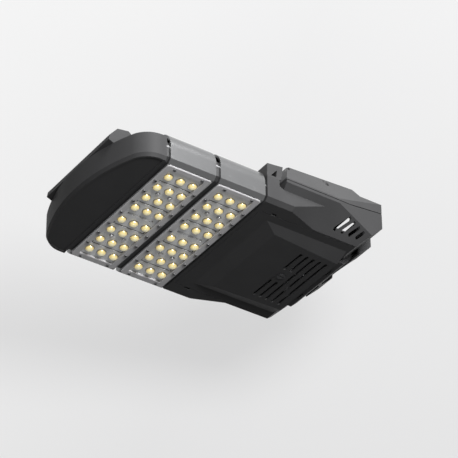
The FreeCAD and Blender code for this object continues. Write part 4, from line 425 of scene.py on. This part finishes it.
def plateLines():
    look = plateLook
    fine = np.array(plateGrid["fine"])
    ring = np.array(plateGrid["ring"]) * look["ringRadius"] * plateGrid["ringReach"]
    grooveRows = bothSigns(look["grooves"])
    columns = bothSigns([look["grooveHalf"], look["slotHalf"], look["lipHalf"]])
    rows = grooveRows + bothSigns([0.0, look["slotAside"], look["lipRow"]])
    kerbs = [row + side * look["kerbAside"] for row in grooveRows for side in (-1, 1)]
    alongCount, acrossCount = plateGrid["counts"]
    along = gridLines(look["width"] / 2, alongCount, [column + fine for column in columns]
                      + [column + ring for column in bothSigns([look["screwColumn"]])])
    across = gridLines(look["length"] / 2, acrossCount, [row + fine for row in rows]
                       + [kerb + fine / 2 for kerb in kerbs]
                       + [row + ring for row in bothSigns([look["screwRow"]])])
    return along, across


# 1 in the middle of a groove, 0 past its edge, with short sloped sides.
def dip(distance, width):
    slope = plateLook["slope"]
    return np.clip((width / 2 + slope - np.abs(distance)) / (2 * slope), 0, 1)


# 1 along a groove, 0 past its end.
def reach(distance, half):
    return dip(np.maximum(np.abs(distance) - half, 0), 2 * plateLook["slope"])


# How deep each point lies, from 1 in a groove to less than 0 where the plate stands proud.
def plateDepth(x, y):
    look = plateLook
    grooveRows = bothSigns(look["grooves"])
    alongGroove = reach(x, look["grooveHalf"])
    lip = dip(np.abs(y) - look["lipRow"], look["lipWidth"])
    depth = -look["lipHeight"] * lip * reach(x, look["lipHalf"])
    for row in grooveRows:
        kerb = dip(np.abs(y - row) - look["kerbAside"], look["kerbWidth"]) * alongGroove
        depth = np.minimum(depth, -look["kerbHeight"] * kerb)
    for row in grooveRows:  # after all kerbs, which would fill them
        depth = np.maximum(depth, dip(y - row, look["grooveWidth"]) * alongGroove)
        inward = (row - y) * np.sign(row)
        hook = dip(np.abs(x) - look["grooveHalf"], look["grooveWidth"])
        depth = np.maximum(depth, hook * ((inward > look["hookFrom"]) & (inward < look["hookTo"])))
    # the middle slot: two lines with a strip between them, joined at their ends
    pair = dip(np.abs(y) - look["slotAside"], look["slotWidth"]) * reach(x, look["slotHalf"])
    ends = dip(np.abs(x) - look["slotHalf"], look["slotWidth"]) * (np.abs(y) < look["slotEnds"])
    depth = np.maximum(depth, np.maximum(pair, ends))
    screws = crossings(0, [look["screwColumn"]], [look["screwRow"]])
    for away in [np.hypot(x - place[0], y - place[1]) for place in screws]:
        seat = np.clip((look["ringRadius"] - away) / look["seatSlope"], 0, 1)
        ring = np.clip(1 - np.abs(away - look["ringRadius"]) / look["ringHalf"], 0, 1)
        depth = np.maximum(depth, look["seatSink"] * seat) + look["ringSink"] * ring
    return depth


def lensPlate(centre):
    look = plateLook
    x, y = np.meshgrid(*plateLines(), indexing="ij")
    depth = plateDepth(x, y)
    lower = np.stack([x + centre, y, look["face"] + depth * look["grooveDepth"]], -1)
    rows, columns = x.shape
    index = np.arange(rows * columns).reshape(rows, columns)
    quads = np.stack([index[:-1, :-1], index[:-1, 1:], index[1:, 1:], index[1:, :-1]], -1)
    rim = np.concatenate([index[:-1, 0], index[-1, :-1], index[:0:-1, -1], index[0, :0:-1]])
    edge = lower.reshape(-1, 3)[rim].copy()
    edge[:, 2] = look["back"]
    top = np.arange(len(rim)) + rows * columns
    walls = np.stack([rim, np.roll(rim, -1), np.roll(top, -1), top], -1)
    points = np.concatenate([lower.reshape(-1, 3), edge]) * mm
    faces = quads.reshape(-1, 4).tolist() + walls[:, ::-1].tolist() + [top[::-1].tolist()]
    return points, faces, np.concatenate([depth.reshape(-1), np.zeros(len(rim))])


# Frosted clear plastic over the white board, with painted shade darkening the grooves and screw
# rings by their depth and a painted highlight whitening the raised lips and kerbs.
def platePaint():
    look = plateLook
    paint, start, place = newPaint("lensPlate")
    groove = start.node("ShaderNodeAttribute", {"attribute_name": "inGroove"}, {}, "Fac")
    grain = noise(start, place, look["grain"])
    face = blendColours(start, noise(start, place, look["cloud"]), *look["faceTones"])
    # painted highlight: raised lips and kerbs turn white
    proud = ramp(start, groove * -1.0, look["proudHighlightStops"])
    raised = blendColours(start, proud, face, look["proud"])
    # painted shade: grooves and screw rings turn dark by their depth
    colour = blendColours(start, ramp(start, groove, look["gapStops"]), raised, look["gap"])
    roughness = look["roughness"] + swing(grain, look["rough"])
    closePaint(start, colour, roughness, grain, look["bump"], look["fixed"])
    return paint


# Lens dome: a foot ring sunk into the plate, then for turns from 90 degrees to the crown
# radius = flat * root of sin(turn) + rounding * sin(turn)
# depth = plate's face - (height - rounding) - rounding * cos(turn)
domeLook = {
    "columns": (0.0, 20.0), "rows": (17.3, 45.6, 73.9, 102.2), "sides": 28, "crisp": 60,
    "radius": 6.4, "height": 5.0, "rounding": 4.9, "turns": (90, 80, 70, 60, 50, 40, 30, 20, 10, 2),
    "footRadius": 7.3, "footSunk": 0.4, "footEdge": 0.3, "footHeight": 0.42, "skirtGap": 0.02,
    "skirtHeight": 0.43,  # the dome starts above this
    "ripple": 900.0, "rippleTint": (0.95, 0.90, 0.70), "rippleShare": 0.3,
    # A whitish painted highlight at the crown, then the chip's yellow, then a dark painted shade
    # ring at the foot.
    "chipHighlightShadeStops": [  # from the crown to the foot
        (0.0, (1.0, 0.94, 0.64, 1)), (0.34, (1.0, 0.90, 0.50, 1)),
        (0.58, (0.98, 0.80, 0.32, 1)), (0.82, (0.94, 0.72, 0.24, 1)),
        (0.875, (0.20, 0.15, 0.07, 1)), (0.90, (0.012, 0.012, 0.014, 1))],
    # The last value below is the strength of a painted glow: the domes shine faintly though they
    # are no lamp.
    "roughness": 0.22, "rough": 0.06, "bump": (0.04, 0.03), "paintedGlow": 0.18,
    "fixed": {"Metallic": 0.5, "Coat Weight": 1.0, "Coat Roughness": 0.04, "IOR": 1.49},
}


def domeProfile():
    look, face = domeLook, plateLook["face"]
    turn = np.radians(look["turns"])
    flat = look["radius"] - look["rounding"]
    radius = flat * np.sin(turn) ** 0.5 + look["rounding"] * np.sin(turn)
    depth = face - (look["height"] - look["rounding"]) - look["rounding"] * np.cos(turn)
    foot = [
        (look["footRadius"], face + look["footSunk"]),
        (look["footRadius"], face - look["footEdge"]),
        (look["footRadius"] - look["footEdge"], face - look["footHeight"]),
        (look["radius"] + look["skirtGap"], face - look["footHeight"]),
    ]
    return foot + [(r, d) for r, d in zip(radius, depth) if d < face - look["skirtHeight"]]


# The yellow chip seen through the dome, with a painted highlight at the crown, painted shade at the
# foot and a faint painted glow.
def domePaint():
    look = domeLook
    paint, start, place = newPaint("lensDome")
    ring = start.node("ShaderNodeAttribute", {"attribute_name": "fromCrown"}, {}, "Fac")
    ripple = noise(start, place, look["ripple"])
    # painted highlight at the crown and painted shade at the foot, over the chip's yellow
    tint = ramp(start, ring, look["chipHighlightShadeStops"])
    colour = blendColours(start, ripple * look["rippleShare"], tint, look["rippleTint"])
    closePaint(start, colour, look["roughness"] + ripple * look["rough"], ripple, look["bump"],
               {**look["fixed"], "Emission Color": colour, "Emission Strength": look["paintedGlow"]})
    return paint


domeFinish = domePaint()
plateFinish = platePaint()
for number, centre in moduleCentres.items():
    node = f"lens_plate_{number}"
    points, faces, depth = lensPlate(centre)
    plate = makePiece(f"lens_face_{number}", points, faces, node, plateFinish, plateLook["crisp"])
    storeOnPoints(plate, "inGroove", depth)
    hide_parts(node)
    places = crossings(centre, domeLook["columns"], domeLook["rows"])
    profile = domeProfile()[::-1]
    points, faces = turned(profile, places, domeLook["sides"])
    domes = makePiece(f"lens_domes_{number}", points, faces, node, domeFinish, domeLook["crisp"])
    share = np.array([radius for radius, depth in profile]) / domeLook["footRadius"]
    storeOnRings(domes, "fromCrown", share, domeLook["sides"], places)
print("lenses made")


# Small pan head screws with a hexagon socket: one closed profile from the shank's tip to the
# socket's floor.
screwLook = {
    "head": 2.5, "shank": 1.5, "headHeight": 1.5, "edge": 0.35, "chamfer": 0.12,
    "tip": -36.5, "tipRadius": 0.3, "tipSlope": 0.3, "socket": 1.4, "socketDepth": 0.9,
    "socketRim": 0.2, "socketTaper": 0.94, "floorRadius": 0.1, "floorCone": 0.15, "socketFrom": 8,
    "sides": 24, "crisp": 35, "bezelFace": -47.6,
    "sideColumns": (31.7,), "sideRows": (0.0, 31.45, 59.75, 88.05),
    "endColumns": (22.7,), "endRows": (122.7,),
    # The socket's near black is painted shade in its hollow.
    "headColour": (0.20, 0.20, 0.205), "socketShade": (0.012, 0.012, 0.013), "tones": (0.8, 1.0),
    "wear": 160.0, "grain": 1400.0, "roughness": 0.34, "rough": 0.12, "bump": (0.10, 0.03),
    "metallic": 0.7,
}


def screwProfile(face):
    look = screwLook
    low = face - look["headHeight"]
    socketFloor = low + look["socketDepth"]
    return [
        (look["tipRadius"], look["tip"]), (look["shank"], look["tip"] - look["tipSlope"]),
        (look["shank"], face), (look["head"], face), (look["head"], low + look["edge"]),
        (look["head"] - look["chamfer"], low + look["chamfer"]), (look["head"] - look["edge"], low),
        (look["socket"] + look["socketRim"], low), (look["socket"], low + look["chamfer"]),
        (look["socket"] * look["socketTaper"], socketFloor),
        (look["floorRadius"], socketFloor + look["floorCone"]),
    ]


# Blackened steel heads with a fine turned grain; the sockets are painted near black as shade.
def screwPaint():
    look = screwLook
    paint, start, place = newPaint("screwHead")
    within = start.node("ShaderNodeAttribute", {"attribute_name": "inSocket"}, {}, "Fac")
    grain = noise(start, place, look["grain"])
    metal = cloudy(start, noise(start, place, look["wear"]), look["headColour"], look["tones"])
    colour = blendColours(start, within, metal, look["socketShade"])
    closePaint(start, colour, look["roughness"] + grain * look["rough"], grain, look["bump"],
               {"Metallic": look["metallic"]})
    return paint


screwFinish = screwPaint()
for number, centre in moduleCentres.items():
    rimPlaces = (crossings(centre, screwLook["sideColumns"], screwLook["sideRows"])
                 + crossings(centre, screwLook["endColumns"], screwLook["endRows"]))
    innerPlaces = crossings(centre, [plateLook["screwColumn"]], [plateLook["screwRow"]])
    for node, places, face, finish in (
            (f"bezel_screws_{number}", rimPlaces, screwLook["bezelFace"], screwFinish),
            (f"board_screws_{number}", innerPlaces, plateLook["face"], paints["screwSteel"])):
        profile = screwProfile(face)
        points, faces = turned(profile, places, screwLook["sides"], screwLook["socketFrom"])
        screws = makePiece(f"{node}_turned", points, faces, node, finish, screwLook["crisp"])
        inside = [float(step >= screwLook["socketFrom"]) for step in range(len(profile))]
        storeOnRings(screws, "inSocket", inside, screwLook["sides"], places)
        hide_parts(node)
print("screws turned")

# Studio: pale floor, a pale board behind the lamp, a broad lamp above and a soft one beside the
# camera. Lengths are in metres.
studio = {
    "eye": (2.1579, 2.8931, -2.4993), "lens": 235.8, "sensor": 36.0, "farthest": 50.0,
    "right": (-0.82701, 0.56214, -0.00717), "up": (0.32072, 0.48223, 0.81523),
    "back": (0.46173, 0.67190, -0.57910),
    "floorHeight": -3.2, "floorHalf": 30.0, "floorGlow": 0.32,
    "boardBehind": 0.36, "boardHalf": 0.46, "boardGlow": 0.80,
    "pale": (0.80, 0.80, 0.80), "tones": (0.98, 1.0), "cloud": 1.3, "bounce": 0.30,
    "fadeFrom": 0.25, "fade": ((0.66, 0.66, 0.665), (0.92, 0.92, 0.92)),
    "air": 0.19, "seenAir": 0.80, "airColour": (1, 1, 1, 1),
    "overheadPlace": (0.10, 1.45, 1.60), "overheadSize": 1.3, "overhead": 118.0,
    "fillPlace": (0.66, 0.75, 1.74), "fillSize": 0.6, "fill": 56.0,
}


# 1 for what the lens sees, also in a mirror or through glass, and 0 for light that bounces.
def seenByLens(start):
    kinds = ("Is Camera Ray", "Is Glossy Ray", "Is Transmission Ray")
    direct, mirrored, through = (start.node("ShaderNodeLightPath", output=kind) for kind in kinds)
    return direct + mirrored + through


# Pale and matt, see-through from behind. Only the lens sees the glow, which lights nothing; that
# glow is painted light, graded from darker to lighter along x.
def stagePaint(name, glow):
    paint, start, place = newPaint(name)
    seen = seenByLens(start)
    pale = cloudy(start, noise(start, place, studio["cloud"]), studio["pale"], studio["tones"])
    colour = blendColours(start, seen, [studio["bounce"]] * 3, pale)
    matt = start.node("ShaderNodeBsdfDiffuse", {}, {"Color": colour}, "BSDF")
    # painted light: the glow grades from darker to lighter along x
    fade = start.node("ShaderNodeTexGradient", {}, {"Vector": place}, "Fac")
    light = start.node("ShaderNodeEmission", {}, {
        "Color": blendColours(start, fade + studio["fadeFrom"], *studio["fade"]), "Strength": 1.0})
    front = start.node("ShaderNodeMixShader", {}, {0: seen * glow, 1: matt, 2: light}, "Shader")
    behind = start.node("ShaderNodeBsdfTransparent", {}, {}, "BSDF")
    side = start.node("ShaderNodeNewGeometry", output="Backfacing")
    sheet = start.node("ShaderNodeMixShader", {}, {0: side, 1: front, 2: behind}, "Shader")
    linkOutput(start, sheet)
    return paint


# A square round its place, along two directions; its front faces across x along.
def stageSheet(name, place, across, along, half, glow):
    corners = [tuple(place + across * a * half + along * b * half)
               for a, b in ((-1, -1), (1, -1), (1, 1), (-1, 1))]
    mesh = bpy.data.meshes.new(name)
    mesh.from_pydata(corners, [], [(0, 1, 2, 3)])
    sheet = addObject(name, mesh)
    mesh.materials.append(stagePaint(name + "Pale", glow))


eye, right, up, back = (np.array(studio[key]) for key in ("eye", "right", "up", "back"))
low, high = (np.array(corner) for corner in cadBox)
middle = (low + high) / 2
stageSheet("floor", np.array([0.0, 0.0, studio["floorHeight"]]), np.array([1.0, 0.0, 0.0]),
           np.array([0.0, 1.0, 0.0]), studio["floorHalf"], studio["floorGlow"])
stageSheet("backdrop", middle - back * studio["boardBehind"], right, up, studio["boardHalf"],
           studio["boardGlow"])


# Stands a lamp or a camera at a place, with its own x, y and z along three directions.
def standAt(thing, place, x, y, z):
    stand = np.eye(4)
    stand[:3, 0], stand[:3, 1], stand[:3, 2], stand[:3, 3] = x, y, z, place
    thing.matrix_world = Matrix(stand.tolist())


def unit(direction):
    return direction / np.linalg.norm(direction)


# A round lamp that shines at the middle of the object.
def areaLamp(name, place, size, power):
    light = bpy.data.lights.new(name, "AREA")
    light.shape = "DISK"
    light.size = size
    light.energy = power
    away = unit(place - middle)
    steep = abs(away[2]) >= 0.95  # nearly straight above or below, where z gives no side
    side = unit(np.cross((1.0, 0.0, 0.0) if steep else (0.0, 0.0, 1.0), away))
    standAt(addObject(name, light), place, side, np.cross(away, side), away)


areaLamp("overhead", middle + np.array(studio["overheadPlace"]), studio["overheadSize"],
         studio["overhead"])
beside, above, behindLens = studio["fillPlace"]
areaLamp("fill", middle + right * beside + up * above + back * behindLens, studio["fillSize"],
         studio["fill"])

world = bpy.data.worlds.new("studio")
bpy.context.scene.world = world
world.use_nodes = True
world.node_tree.nodes.clear()
air = Wire(world.node_tree)
lighting, shown = (
    air.node("ShaderNodeBackground", {}, {"Color": studio["airColour"], "Strength": strength},
             "Background") for strength in (studio["air"], studio["seenAir"]))
sky = air.node("ShaderNodeMixShader", {}, {0: seenByLens(air), 1: lighting, 2: shown}, "Shader")
linkOutput(air, sky, "ShaderNodeOutputWorld")

camera = addObject("camera", bpy.data.cameras.new("camera"))
camera.data.sensor_width = studio["sensor"]
camera.data.lens = studio["lens"]
camera.data.clip_end = studio["farthest"]
standAt(camera, eye, right, up, back)
bpy.context.scene.camera = camera
bpy.context.scene.view_settings.view_transform = "Standard"
print("studio set")
